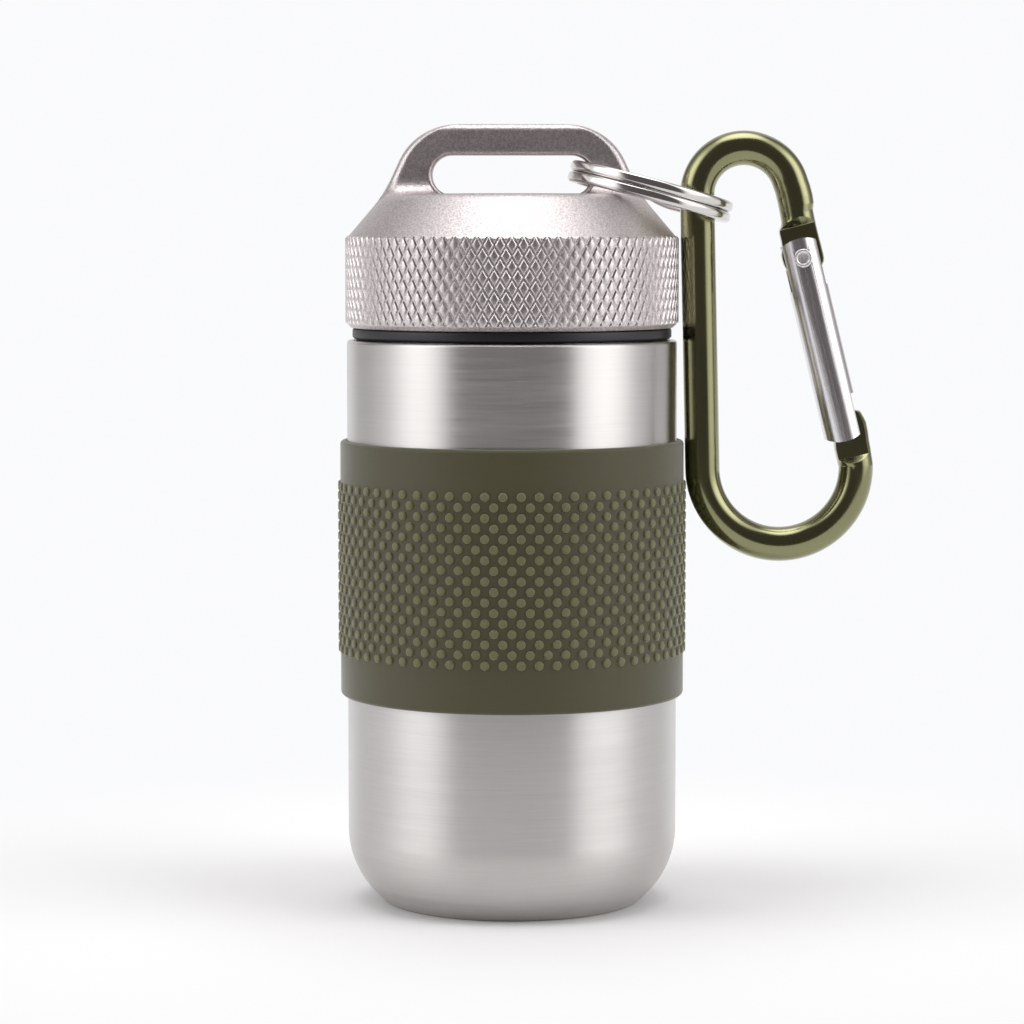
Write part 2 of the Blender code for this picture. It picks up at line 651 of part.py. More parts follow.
def frame_path():
    """The rod's centre line in X and Z, from the hinge end over both bends to the nose."""
    hinge_reach = RIVET_DROP - HINGE_STEP + OVERRUN / 2
    start_x = TOP_BEND_RADIUS * cos(TAPER) + hinge_reach * sin(TAPER)
    start_z = TOP_BEND_RADIUS * sin(TAPER) - hinge_reach * cos(TAPER)
    top = arc_points(0, 0, TOP_BEND_RADIUS, TAPER, pi - TAPER, TOP_BEND_STEPS)
    nose_reach = -NOSE_STEP - STEP_LEAD + RIVET_DROP - TANGENT_LENGTH
    end = 2 * pi + TAPER - nose_reach / BOTTOM_BEND_RADIUS
    bottom = arc_points(0, -BEND_DISTANCE, BOTTOM_BEND_RADIUS, pi - TAPER, end, BOTTOM_BEND_STEPS)
    return [(x, 0, z) for x, z in [(start_x, start_z)] + top + bottom]


def side_cutter(foot, direction, reach):
    """A prism that mills one side of the rod's end to its web, with a sloping end wall.

    It is drawn in Y and Z: foot is the height where the web ends, and direction is +1 or -1
    for a wall that slopes up or down away from the web."""
    web = WEB_THICKNESS / 2
    out = ROD_RADIUS + 2 * OVERRUN
    slope = (out - web) / tan(STEP_SLOPE)
    far = foot - direction * reach
    return [(web, foot), (out, foot + direction * slope), (out, far), (web, far)]


def prism(name, outline, width, cutters, matrix, mirrored):
    """Extrude an outline in Y and Z along X, on one side of the web or on the other."""
    sign = -1 if mirrored else 1
    body = plate_mesh(name, [(sign * y, z) for y, z in outline], width)
    turn = Matrix.Rotation(pi / 2, 4, "Z") @ Matrix.Rotation(pi / 2, 4, "X")
    return as_cutter(body, cutters, matrix @ turn)


def tongue_outline():
    """The flattened hinge end: a round end about the rivet with a cam corner on its inner side."""
    cam = (-CAM_REACH * sin(CAM_ANGLE), -CAM_REACH * cos(CAM_ANGLE))
    outline = arc_points(0, 0, TONGUE_RADIUS, 2 * pi, TONGUE_ROUND_END, CORNER_STEPS)
    corner = rounded([
        outline[-1] + (0,),
        cam + (CAM_ROUND,),
        (-TONGUE_RADIUS, -TONGUE_LEAD, 0),
    ], steps=2)
    outline += corner[1:]
    shoulder = HINGE_STEP - STEP_LEAD
    outline += [(-TONGUE_RADIUS, shoulder), (GATE_INSET, HINGE_STEP + OVERRUN), (TONGUE_RADIUS, shoulder)]
    return outline


def nose_outline():
    """The web that the gate closes over, with its rounded hook on the outer side."""
    bulge = WEB_OUTSIDE + NOSE_BULGE
    middle = (NOSE_TIP + NOSE_STEP) / 2
    foot = NOSE_STEP - STEP_LEAD
    return rounded([
        (GATE_INSET, NOSE_STEP - OVERRUN, 0),
        (WEB_INSIDE, foot, 0),
        (WEB_INSIDE, middle, NOSE_TIP_ROUND),
        (GATE_INSET, NOSE_TIP, NOSE_TIP_ROUND),
        (bulge - NOSE_TIP_ROUND, NOSE_TIP, NOSE_TIP_ROUND / 2),
        (bulge, NOSE_TIP - 2 * NOSE_TIP_ROUND, NOSE_TIP_ROUND),
        (bulge, middle - NOSE_TIP_ROUND, 0),
        (WEB_OUTSIDE, foot, 0),
    ], closed=True, steps=3)


def build_frame(parts, cutters, looks, pivot):
    """The bent rod, flattened to a hinge tongue at one end and to the nose at the other."""
    rod = tube_curve("carabiner_frame", frame_path(), ROD_RADIUS, ROD_RESOLUTION)
    rod = as_mesh(rod, parts)
    place(rod, parts, looks["olive_metal"], CARABINER_PLACE, pivot)

    blank = 2 * ROD_RADIUS + OVERRUN
    tongue = as_cutter(plate_mesh("tongue", tongue_outline(), blank), cutters, flat(GATE_PLACE))
    nose = as_cutter(plate_mesh("nose", nose_outline(), blank), cutters, flat(GATE_PLACE))
    combine(rod, tongue, "UNION")
    combine(rod, nose, "UNION")

    width = 2 * (TONGUE_RADIUS + OVERRUN)
    hinge_reach = HINGE_STEP + CAM_REACH + OVERRUN
    nose_reach = NOSE_LENGTH + OVERRUN
    hinge_side = side_cutter(HINGE_STEP, 1, hinge_reach)
    nose_side = side_cutter(NOSE_STEP, -1, nose_reach)
    for mirrored in (False, True):
        side = "back" if mirrored else "front"
        for name, outline in (("hinge_cut_", hinge_side), ("nose_cut_", nose_side)):
            combine(rod, prism(name + side, outline, width, cutters, GATE_PLACE, mirrored), "DIFFERENCE")
    hole_radius = RIVET_SHANK_DIAMETER / 2 + SEAT_GAP
    combine(rod, round_cutter("tongue_hole", hole_radius, blank, cutters), "DIFFERENCE")
    shade(rod)


def round_cutter(name, radius, length, cutters, centre=(0, 0, 0), along_gate=False):
    """A cylinder across the gate at the rivet, or along the gate."""
    bpy.ops.mesh.primitive_cylinder_add(vertices=SMALL_STEPS, radius=radius, depth=length)
    body = bpy.context.active_object
    body.name = name
    for holder in list(body.users_collection):
        holder.objects.unlink(body)
    turn = Matrix.Identity(4) if along_gate else Matrix.Rotation(pi / 2, 4, "X")
    return as_cutter(body, cutters, GATE_PLACE @ Matrix.Translation(centre) @ turn)


def box_cutter(name, low, high, cutters):
    """A box in the gate's own frame."""
    size = Vector(high) - Vector(low)
    middle = (Vector(high) + Vector(low)) / 2
    bpy.ops.mesh.primitive_cube_add(size=1)
    body = bpy.context.active_object
    body.name = name
    for holder in list(body.users_collection):
        holder.objects.unlink(body)
    body.data.transform(Matrix.Diagonal((*size, 1)))
    return as_cutter(body, cutters, GATE_PLACE @ Matrix.Translation(middle))


def build_gate(parts, cutters, looks, pivot, frame_pivot):
    """The gate with its fork, nose slot and spring bore, and the rivet, plunger and spring."""
    chamfer = GATE_END_CHAMFER
    gate_profile = [
        (0, GATE_TOP),
        (GATE_RADIUS - chamfer, GATE_TOP),
        (GATE_RADIUS, GATE_TOP - chamfer),
        (GATE_RADIUS, GATE_BOTTOM + chamfer),
        (GATE_RADIUS - chamfer, GATE_BOTTOM),
        (0, GATE_BOTTOM),
    ]
    gate = as_mesh(turned_mesh("carabiner_gate", gate_profile, SMALL_STEPS + FILLET_STEPS), parts)
    place(gate, parts, looks["aluminium"], GATE_PLACE, pivot)
    half_slot = SLOT_WIDTH / 2
    side = GATE_RADIUS + OVERRUN
    fork_low = (-side, -half_slot, FORK_BOTTOM)
    fork = box_cutter("fork_slot", fork_low, (side, half_slot, GATE_TOP + OVERRUN), cutters)
    nose_low = (WEB_INSIDE - RUNNING_GAP, -half_slot, GATE_BOTTOM - OVERRUN)
    nose = box_cutter("nose_slot", nose_low, (side, half_slot, NOSE_SLOT_TOP), cutters)
    bore_middle = (SPRING_BORE_BOTTOM + FORK_BOTTOM + OVERRUN) / 2
    bore_length = FORK_BOTTOM + OVERRUN - SPRING_BORE_BOTTOM
    bore = round_cutter("spring_bore", SPRING_BORE_RADIUS, bore_length, cutters, (0, 0, bore_middle), True)
    hole = round_cutter("gate_hole", RIVET_SHANK_DIAMETER / 2 + SEAT_GAP, 2 * side, cutters)
    for cutter in (fork, nose, bore, hole):
        combine(gate, cutter, "DIFFERENCE")
    seat_height = GATE_RADIUS - RIVET_SEAT_DEPTH
    seat_radius = RIVET_HEAD_DIAMETER / 2 + SEAT_GAP
    for sign, label in ((-1, "front"), (1, "back")):
        centre = (0, sign * (seat_height + OVERRUN / 2), 0)
        seat = round_cutter("rivet_seat_" + label, seat_radius, OVERRUN, cutters, centre)
        combine(gate, seat, "DIFFERENCE")
    shade(gate)

    head_low = seat_height + SEAT_GAP
    head_high = head_low + RIVET_HEAD_HEIGHT
    shank = RIVET_SHANK_DIAMETER / 2
    head = RIVET_HEAD_DIAMETER / 2
    dimple = RIVET_DIMPLE_DIAMETER / 2
    half = [
        (0, head_high - RIVET_DIMPLE_DEPTH),
        (dimple - RIVET_DIMPLE_DEPTH, head_high - RIVET_DIMPLE_DEPTH),
        (dimple, head_high),
        (head, head_high - RIVET_DIMPLE_DEPTH),
        (head, head_low),
        (shank, head_low),
    ]
    rivet_profile = half + [(r, -z) for r, z in reversed(half)]
    rivet = as_mesh(turned_mesh("gate_rivet", rivet_profile, SMALL_STEPS), parts)
    shade(place(rivet, parts, looks["aluminium"], flat(GATE_PLACE), frame_pivot))

    plunger_bottom = PLUNGER_TOP - PLUNGER_LENGTH
    plunger_profile = rounded([
        (0, PLUNGER_TOP, 0),
        (PLUNGER_RADIUS, PLUNGER_TOP, PLUNGER_NOSE_ROUND),
        (PLUNGER_RADIUS, plunger_bottom, 0),
        (0, plunger_bottom, 0),
    ], steps=2)
    plunger = as_mesh(turned_mesh("gate_plunger", plunger_profile, SMALL_STEPS), parts)
    shade(place(plunger, parts, looks["polished_steel"], GATE_PLACE, pivot))

    spring_top = plunger_bottom - SEAT_GAP - SPRING_WIRE / 2
    spring_bottom = SPRING_BORE_BOTTOM + SEAT_GAP + SPRING_WIRE / 2
    count = SPRING_TURNS * SPRING_STEPS
    points = []
    for i in range(count + 1):
        angle = 2 * pi * i / SPRING_STEPS
        height = spring_bottom + (spring_top - spring_bottom) * i / count
        points.append((SPRING_RADIUS * cos(angle), SPRING_RADIUS * sin(angle), height))
    spring = as_mesh(tube_curve("gate_spring", points, SPRING_WIRE / 2, SPRING_RESOLUTION), parts)
    shade(place(spring, parts, looks["polished_steel"], GATE_PLACE, pivot))
    curl_gap = least_gap(points, SPRING_STEPS // 2 + 1, SPRING_WIRE)
    print("gate spring: least gap between its curls", curl_gap / MM, "mm")


def build():
    """Build the whole capsule."""
    clear_scene()
    parts = new_collection("storage_capsule")
    cutters = new_collection("cutters")
    looks = {
        "brushed_steel": make_material("brushed_steel", (0.60, 0.58, 0.56), 0.32, 1.0),
        "turned_steel": make_material("turned_steel", (0.58, 0.56, 0.54), 0.28, 1.0),
        "silicone": make_material("silicone", (0.10, 0.09, 0.048), 0.75, 0.0),
        "black_rubber": make_material("black_rubber", (0.012, 0.010, 0.014), 0.6, 0.0),
        "clear_silicone": make_material("clear_silicone", (0.70, 0.70, 0.68), 0.5, 0.0),
        "blasted_metal": make_material("blasted_metal", (0.58, 0.55, 0.54), 0.5, 1.0),
        "polished_steel": make_material("polished_steel", (0.68, 0.65, 0.63), 0.15, 1.0),
        "olive_metal": make_material("olive_metal", (0.24, 0.235, 0.09), 0.28, 1.0),
        "aluminium": make_material("aluminium", (0.84, 0.82, 0.83), 0.3, 1.0),
    }
    lift = make_empty("cap_lift_axis", parts, (0, 0, SKIRT_BOTTOM))
    turn = make_empty("cap_turn_axis", parts, (0, 0, SKIRT_BOTTOM))
    ring_pivot = make_empty("ring_tilt_axis", parts, RING_PIVOT)
    frame_pivot = make_empty("carabiner_swing_axis", parts, CARABINER_PIVOT)
    gate_pivot = make_empty("gate_swing_axis", parts, GATE_PLACE.translation)
    bpy.context.view_layer.update()
    build_canister(parts, looks)
    build_cap(parts, cutters, looks, lift, turn)
    build_ring(parts, cutters, looks, ring_pivot)
    build_frame(parts, cutters, looks, frame_pivot)
    build_gate(parts, cutters, looks, gate_pivot, frame_pivot)
    for label, point in (("ring pivot", RING_PIVOT), ("carabiner pivot", CARABINER_PIVOT),
                         ("rivet", GATE_PLACE.translation)):
        print(label, [round(v / MM, 3) for v in point])


build()
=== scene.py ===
# Waterproof storage capsule: the finish of every surface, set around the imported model.
# Metres, +Z up. The origin is the middle of the base. The handle lies along X, the carabiner is at +X,
# and the camera looks along +Y.

import json
from math import asin, atan2, ceil, copysign, cos, pi, radians, sin, sqrt, tan

import bmesh
import bpy
from mathutils import Matrix, Vector


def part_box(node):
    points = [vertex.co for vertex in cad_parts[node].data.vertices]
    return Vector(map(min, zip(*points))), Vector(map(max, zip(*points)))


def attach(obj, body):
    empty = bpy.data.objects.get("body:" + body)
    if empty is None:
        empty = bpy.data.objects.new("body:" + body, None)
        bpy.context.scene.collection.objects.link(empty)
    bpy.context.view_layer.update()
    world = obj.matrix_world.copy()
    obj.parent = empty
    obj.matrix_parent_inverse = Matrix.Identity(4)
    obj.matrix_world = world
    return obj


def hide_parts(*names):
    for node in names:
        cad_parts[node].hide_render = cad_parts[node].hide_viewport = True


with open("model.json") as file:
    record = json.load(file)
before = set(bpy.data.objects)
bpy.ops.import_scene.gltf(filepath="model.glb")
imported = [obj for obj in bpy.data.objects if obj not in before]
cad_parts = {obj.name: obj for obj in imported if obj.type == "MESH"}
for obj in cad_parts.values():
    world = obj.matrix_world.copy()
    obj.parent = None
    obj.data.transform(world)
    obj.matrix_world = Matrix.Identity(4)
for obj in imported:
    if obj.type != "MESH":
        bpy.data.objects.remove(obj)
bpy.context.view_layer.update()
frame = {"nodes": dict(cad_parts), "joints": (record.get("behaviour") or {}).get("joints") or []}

MM = 0.001

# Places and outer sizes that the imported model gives
JOINTS = {joint["name"]: joint for joint in frame["joints"]}
CUP_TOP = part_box("body_cup")[1]
SLEEVE_LOW, SLEEVE_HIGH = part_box("grip_sleeve")
GASKET_LOW, GASKET_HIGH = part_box("shoulder_gasket")
SEAL_LOW, SEAL_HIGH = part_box("cap_seal")
CAP_LOW, CAP_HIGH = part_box("cap_shell")
NECK_LOW, NECK_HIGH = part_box("neck_ring")
RING_PIVOT = Vector(JOINTS["ring_tilt"]["pos_m"])
CARABINER_PIVOT = Vector(JOINTS["carabiner_swing"]["pos_m"])
RIVET = Vector(JOINTS["gate_swing"]["pos_m"])
GATE_DOWN = Vector(JOINTS["plunger_slide"]["axis"])
GATE_LEAN = atan2(GATE_DOWN.x, GATE_DOWN.z)

# Canister
BODY_RADIUS = CUP_TOP.x
BODY_HEIGHT = CUP_TOP.z
BODY_WALL = 0.8 * MM
BASE_THICKNESS = 1.0 * MM
CORNER_RADIUS = 10.5 * MM
CORNER_CENTRE_HEIGHT = 8.5 * MM
BASE_EDGE_ROUND = 0.6 * MM
RIM_ROUND = 0.35 * MM

# Neck and its seals
NECK_WALL = 1.2 * MM
NECK_CHAMFER = 0.5 * MM
THREAD_ROOM = 0.6 * MM
THREAD_PITCH = 2.4 * MM
THREAD_HEIGHT = 0.42 * MM
THREAD_ROOT = 1.5 * MM
THREAD_CREST = 0.7 * MM
THREAD_SINK = 0.1 * MM
THREAD_START = 2.6 * MM
THREAD_TURNS = 2.6
THREAD_TAPER_PER_TURN = 8
THREAD_END_SHARE = 0.06
GASKET_BEVEL = 0.3 * MM
SEAL_BAND = 2.8 * MM
SOFT_EDGE = 0.2 * MM

# Grip sleeve
SLEEVE_EDGE_ROUND = 0.45 * MM
DOT_ROWS = 17
DOTS_ROUND = 62
DOT_DIAMETER = 1.04 * MM
DOT_HEIGHT = 0.28 * MM
DOT_CROWN_SHARE = 0.8
DOT_TOP_ROW = 48.35 * MM
DOT_ROW_PITCH = 1.17 * MM
DOT_SIDES = 12

# Cap
CAP_RADIUS = CAP_HIGH.y
CAP_WALL = 1.8 * MM
SKIRT_BOTTOM = CAP_LOW.z
SKIRT_HEIGHT = 10.05 * MM
SKIRT_CHAMFER = 0.65 * MM
BORE_CHAMFER = 0.3 * MM
CROWN_HEIGHT = 5.2 * MM
CONE_ANGLE = radians(40.5)
CROWN_EDGE_ROUND = 2.5 * MM
CROWN_THICKNESS = 2.4 * MM
RECESS_INSET = 3.9 * MM

# Knurl
KNURL_COUNT = 92
KNURL_DIAMOND_HEIGHT = 2.387 * MM
KNURL_DROP = 0.064 * MM
KNURL_PROUD = 0.15 * MM
KNURL_DEPTH = 0.16 * MM
KNURL_SINK = 0.06 * MM
KNURL_FLAT_SHARE = 0.62
KNURL_EDGE = 0.02 * MM

# Handle
HANDLE_THICKNESS = 5.5 * MM
HANDLE_SIDE_ANGLE = radians(24.8)
HANDLE_CORNER_RADIUS = 7.2 * MM
HANDLE_FOOT_BLEND = 15.7 * MM
HANDLE_EDGE_ROUND = 0.85 * MM
HANDLE_FRONT_FILLET = 2.1 * MM
PILLAR_WIDTH = 5.6 * MM
EYE_HEIGHT = 4.55 * MM
EYE_SINK = 0.05 * MM
EYE_EDGE_ROUND = 0.5 * MM

# Split ring
RING_WIRE_WIDTH = 1.5 * MM
RING_WIRE_HEIGHT = 1.23 * MM
RING_WIRE_ROUND = 0.45 * MM
RING_PITCH = 1.26 * MM
RING_TILT = radians(15.0)
RING_ROLL = radians(0.5)
RING_STEP_ANGLE = radians(22.0)

# Carabiner
CARABINER_LENGTH = 50.0 * MM
ROD_DIAMETER = 4.0 * MM
TOP_BEND_RADIUS = 5.35 * MM
BOTTOM_BEND_RADIUS = 8.88 * MM
GATE_INSET = 0.43 * MM
RIVET_DROP = 8.7 * MM
TONGUE_THICKNESS = 1.8 * MM
NOSE_THICKNESS = 2.5 * MM
STEP_SLOPE = radians(48.0)
STEP_FILLET = 0.12 * MM
SQUARE_POWER = 0.3
MILLED_REACH = 8.0 * MM
SQUARE_FADE = 1.2 * MM
HINGE_STEP = 3.7 * MM
HINGE_BULGE_END = radians(53.0)
NOSE_STEP_GAP = 2.0 * MM
# Edges of the flattened hinge end, mm: height over the rivet, inner edge, outer edge
TONGUE_EDGES = [
    (8.7, -1.46, 2.69), (7.9, -1.38, 2.77), (6.8, -1.38, 2.79), (5.9, -1.41, 2.71),
    (5.6, -1.43, 2.61), (5.1, -1.45, 2.43), (4.5, -1.51, 2.40), (4.13, -1.66, 2.38),
    (3.64, -2.02, 2.37), (3.33, -2.07, 2.36), (2.5, -2.08, 2.36), (1.76, -2.13, 2.36),
    (1.3, -2.29, 2.37), (0.88, -2.43, 2.38), (0.36, -2.47, 2.38), (-0.23, -2.43, 2.38),
    (-0.6, -2.35, 2.35), (-0.98, -2.21, 2.24), (-1.3, -2.06, 2.01), (-1.8, -1.80, 1.55),
    (-2.1, -1.55, 1.08), (-2.3, -1.00, 0.50), (-2.38, -0.30, 0.10),
]
# Edges of the flattened nose, mm: height over the nose's foot, inner edge, outer edge
NOSE_EDGES = [
    (-1.1, -1.62, 2.43), (-0.3, -1.74, 2.36), (0.3, -1.79, 2.36), (1.3, -1.78, 2.42),
    (1.9, -1.68, 2.49), (2.4, -1.58, 2.54), (3.5, -1.52, 2.58), (4.2, -1.46, 2.42),
    (4.85, -1.25, 2.22), (5.1, -0.95, 1.95), (5.25, -0.50, 1.40),
]

# Gate and rivet
GATE_DIAMETER = 4.54 * MM
GATE_LENGTH = 23.95 * MM
GATE_HEAD = 2.3 * MM
GATE_LEAN_EASE = radians(0.35)
GATE_SHIFT = -0.19 * MM
GATE_ARCH_RADIUS = 4.4 * MM
GATE_END_ROUND = 0.4 * MM
GATE_EYE_WIDTH = 4.06 * MM
GATE_EYE_LENGTH = 1.6 * MM
FORK_DEPTH = 5.83 * MM
NOSE_SLOT_LENGTH = 5.2 * MM
SLOT_CLEARANCE = 0.15 * MM
SPRING_BORE_DIAMETER = 2.7 * MM
SPRING_BORE_DEPTH = 9.0 * MM
RIVET_SHANK_DIAMETER = 1.3 * MM
RIVET_HEAD_DIAMETER = 2.15 * MM
RIVET_HEAD_HEIGHT = 0.4 * MM
RIVET_DIMPLE_DIAMETER = 1.3 * MM
RIVET_DIMPLE_DEPTH = 0.28 * MM
RIVET_SEAT_DEPTH = 0.2 * MM
RIVET_EDGE = 0.19 * MM

SEAT_GAP = 0.1 * MM
OVERRUN = 1.0 * MM

# Facets
ROUND_STEPS = 184
SMALL_STEPS = 40
TUBE_STEPS = 72
EDGE_STEPS = 4
ARC_STEPS = 8
LONG_ARC_STEPS = 24
DOT_ARC_STEPS = 3
HANDLE_END_STEPS = 3
ROD_SIDES = 96
STATION_PITCH = 0.1 * MM
TOP_BEND_STEPS = 48
BOTTOM_BEND_STEPS = 60
RING_POINTS = 241
THREAD_POINTS = 241
WIRE_CORNER_POINTS = 5
LEAST_LAYER = 0.01 * MM
WELD_DISTANCE = 0.0005 * MM
SMOOTH_ANGLE = radians(32.0)
FINE_SMOOTH_ANGLE = radians(13.0)

# Surface detail, in noise cells per metre
BRUSH_ALONG = 110
BRUSH_ACROSS = 5200
BAND_ALONG = 45
BAND_ACROSS = 900
BRUSH_CLOUD = 90
BLAST_GRAIN = 4600
BLAST_PITS = 2300
BLAST_CLOUD = 130
RUBBER_CLOUD = 160
DYE_LINES_ACROSS = 2600
DYE_LINES_ALONG = 120
DYE_CLOUD = 260
DYE_RIPPLE = 1500
DRAWN_ACROSS = 3400
DRAWN_ALONG = 90
DRAWN_SPECKS = 2600
SCRATCH_ALONG = 260
SCRATCH_ACROSS = 5200
WINDING_WAVES = 420

# Camera, as fitted to the photograph, in a square picture
CAMERA_DISTANCE = 399.2 * MM
CAMERA_HEIGHT = 77.4 * MM
CAMERA_PITCH = radians(4.62)
CAMERA_FOCAL_PIXELS = 3454
PICTURE_PIXELS = 1024
SENSOR_WIDTH = 36.0
CAMERA_NEAR = 10 * MM
CAMERA_FAR = 20000 * MM

# Studio
FLOOR_FRONT = 230 * MM
FLOOR_REACH = 3000 * MM
FLOOR_FADE_START = 28 * MM
FLOOR_FADE_END = 110 * MM
FLOOR_WHITE = (0.855, 0.855, 0.855, 1.0)
BACKGROUND_WHITE = (0.955, 0.960, 0.972, 1.0)

# The studio as the metal sees it. Shares of the way round run from behind the object, past its left, to
# the camera's own side at 0.5 and on past its right. Walls: (share, brightness at the horizon).
STUDIO_WALLS = [
    (0.00, 0.95), (0.09, 0.90), (0.125, 0.36), (0.17, 0.42), (0.23, 0.95), (0.29, 1.45), (0.33, 1.35),
    (0.365, 0.75), (0.39, 0.105), (0.61, 0.105), (0.635, 1.15), (0.68, 1.55), (0.72, 1.50), (0.77, 0.80),
    (0.83, 0.32), (0.875, 0.36), (0.91, 0.90), (1.00, 0.95),
]
# Soft boxes above the horizon: (share, brightness that each adds in its middle height)
STUDIO_BOXES = [
    (0.00, 0.0), (0.23, 0.0), (0.27, 0.8), (0.30, 1.0), (0.34, 0.8), (0.38, 0.0), (0.62, 0.0),
    (0.66, 0.8), (0.70, 1.0), (0.73, 0.8), (0.77, 0.0), (1.00, 0.0),
]
BOX_LIGHT = 1.5
BOX_MIDDLE = 0.40
BOX_HALF_HEIGHT = 0.40
# The back wall and its ceiling edge are darker than the horizon: (share, part of the light that is lost)
STUDIO_BACK = [(0.00, 0.20), (0.16, 0.20), (0.24, 0.0), (0.76, 0.0), (0.84, 0.20), (1.00, 0.20)]
BACK_START = 0.05
BACK_FULL = 0.35
CEILING_LIGHT = 3.6
CEILING_START = 0.87
CEILING_FULL = 0.985
WARM_RED = 0.012


class Value:
    """One output of a node. Plain arithmetic on it adds the Math nodes that work it out."""

    def __init__(self, graph, socket):
        self.graph = graph
        self.socket = socket

    def __add__(self, other):
        return self.graph.math("ADD", self, other)

    def __radd__(self, other):
        return self.graph.math("ADD", other, self)

    def __sub__(self, other):
        return self.graph.math("SUBTRACT", self, other)

    def __rsub__(self, other):
        return self.graph.math("SUBTRACT", other, self)

    def __mul__(self, other):
        return self.graph.math("MULTIPLY", self, other)

    def __rmul__(self, other):
        return self.graph.math("MULTIPLY", other, self)

    def __truediv__(self, other):
        return self.graph.math("DIVIDE", self, other)

    def __rtruediv__(self, other):
        return self.graph.math("DIVIDE", other, self)

    def __pow__(self, other):
        return self.graph.math("POWER", self, other)

    def __rpow__(self, other):
        return self.graph.math("POWER", other, self)

    def clamped(self):
        return self.graph.math("MINIMUM", self.graph.math("MAXIMUM", self, 0), 1)

    def smooth(self):
        """An even 0 to 1 turned into one that starts and ends gently."""
        held = self.clamped()
        return held * held * (3 - 2 * held)


class Graph:
    """A node tree that is filled from Python."""

    def __init__(self, tree):
        self.tree = tree

    def add(self, kind, settings=None, values=None, output=0):
        """Add a node: its settings first, then the values or links of its inputs."""
        node = self.tree.nodes.new(kind)
        for name, value in (settings or {}).items():
            if name == "stops":
                self.set_stops(node.color_ramp, value)
            else:
                setattr(node, name, value)
        for name, value in (values or {}).items():
            self.feed(node.inputs[name], value)
        return Value(self, node.outputs[output])

    def set_stops(self, ramp, stops):
        """Give a colour ramp its stops, (place, grey)."""
        while len(ramp.elements) < len(stops):
            ramp.elements.new(1.0)
        for element, (place, grey) in zip(ramp.elements, stops):
            element.position = place
            element.color = (grey, grey, grey, 1.0)

    def feed(self, socket, value):
        """Link an input to a value, or set it to a plain one."""
        if isinstance(value, Value):
            self.tree.links.new(value.socket, socket)
        else:
            socket.default_value = value

    def math(self, operation, first, second=0.0):
        return self.add("ShaderNodeMath", {"operation": operation}, {0: first, 1: second})

    def vector(self, x, y, z):
        return self.add("ShaderNodeCombineXYZ", None, {"X": x, "Y": y, "Z": z})

    def parts(self, vector):
        """The X, Y and Z of a vector."""
        node = self.add("ShaderNodeSeparateXYZ", None, {0: vector}).socket.node
        return [Value(self, socket) for socket in node.outputs]

    def place(self, turn=None, centre=None):
        """Object coordinates, seen from a centre and along turned axes."""
        point = self.add("ShaderNodeTexCoord", output="Object")
        if turn is None:
            return point
        values = {"Vector": point, "Location": centre, "Rotation": turn}
        return self.add("ShaderNodeMapping", {"vector_type": "TEXTURE"}, values)

    def noise(self, vector, scale, detail=2.0, roughness=0.5):
        values = {"Vector": vector, "Scale": scale, "Detail": detail, "Roughness": roughness}
        return self.add("ShaderNodeTexNoise", None, values)

    def stretched(self, x, y, z, level_scale, upright_scale, detail, roughness=0.5):
        """Noise with one scale along X and Y and another along Z."""
        point = self.vector(x * level_scale, y * level_scale, z * upright_scale)
        return self.noise(point, 1.0, detail, roughness)

    def mix(self, factor, first, second):
        """A colour between two others."""
        return self.add("ShaderNodeMix", {"data_type": "RGBA"}, {0: factor, 6: first, 7: second}, 2)

    def bump(self, height, depth, strength=1.0):
        values = {"Height": height, "Distance": depth, "Strength": strength}
        return self.add("ShaderNodeBump", None, values)


def finish(name, constants, pattern):
    """Make a material. Constants sit on the shader's own sockets, and the pattern gives what varies."""
    material = bpy.data.materials.new(name)
    material.use_nodes = True
    graph = Graph(material.node_tree)
    shader = material.node_tree.nodes["Principled BSDF"]
    for socket, value in constants.items():
        shader.inputs[socket].default_value = value
    for socket, value in pattern(graph).items():
        graph.feed(shader.inputs[socket], value)
    return material


def contrast(value, gain):
    """Spread a noise about its middle."""
    return ((value - 0.5) * gain + 0.5).clamped()


def grey_tint(colour, share):
    """A colour made lighter or darker by a share."""
    return (*[channel * share for channel in colour], 1.0)


def brushed_round(name, colour, roughness, depth):
    """Steel brushed round its axis: long fine streaks along the wall, rings on the base."""
    def pattern(graph):
        x, y, z = graph.parts(graph.place())
        across = z + (x * x + y * y) ** 0.5
        hair = graph.stretched(x, y, across, BRUSH_ALONG, BRUSH_ACROSS, 3.0, 0.6)
        band = graph.stretched(x, y, across, BAND_ALONG, BAND_ACROSS, 2.0)
        cloud = graph.noise(graph.place(), BRUSH_CLOUD, 2.0)
        streak = contrast(hair * 0.65 + band * 0.35, 2.6)
        shade = (streak * 0.6 + cloud * 0.4).clamped()
        return {
            "Base Color": graph.mix(shade, grey_tint(colour, 0.90), grey_tint(colour, 1.08)),
            "Roughness": roughness - 0.05 + 0.1 * streak,
            "Normal": graph.bump(hair, depth),
        }
    constants = {"Metallic": 1.0, "Anisotropic": 0.82, "Anisotropic Rotation": 0.25}
    return finish(name, constants, pattern)


def bead_blasted(name, colour, roughness, depth):
    """Metal with the fine even frosting of blasting, and a faint unevenness."""
    def pattern(graph):
        point = graph.place()
        grain = graph.noise(point, BLAST_GRAIN, 2.0, 0.6)
        pits = graph.noise(point, BLAST_PITS, 1.0)
        cloud = graph.noise(point, BLAST_CLOUD, 3.0)
        shade = (contrast(grain, 4.0) * 0.8 + cloud * 0.2).clamped()
        return {
            "Base Color": graph.mix(shade, grey_tint(colour, 0.78), grey_tint(colour, 1.22)),
            "Roughness": roughness - 0.05 + 0.1 * cloud,
            "Normal": graph.bump(grain * 0.7 + pits * 0.3, depth),
        }
    return finish(name, {"Metallic": 1.0}, pattern)


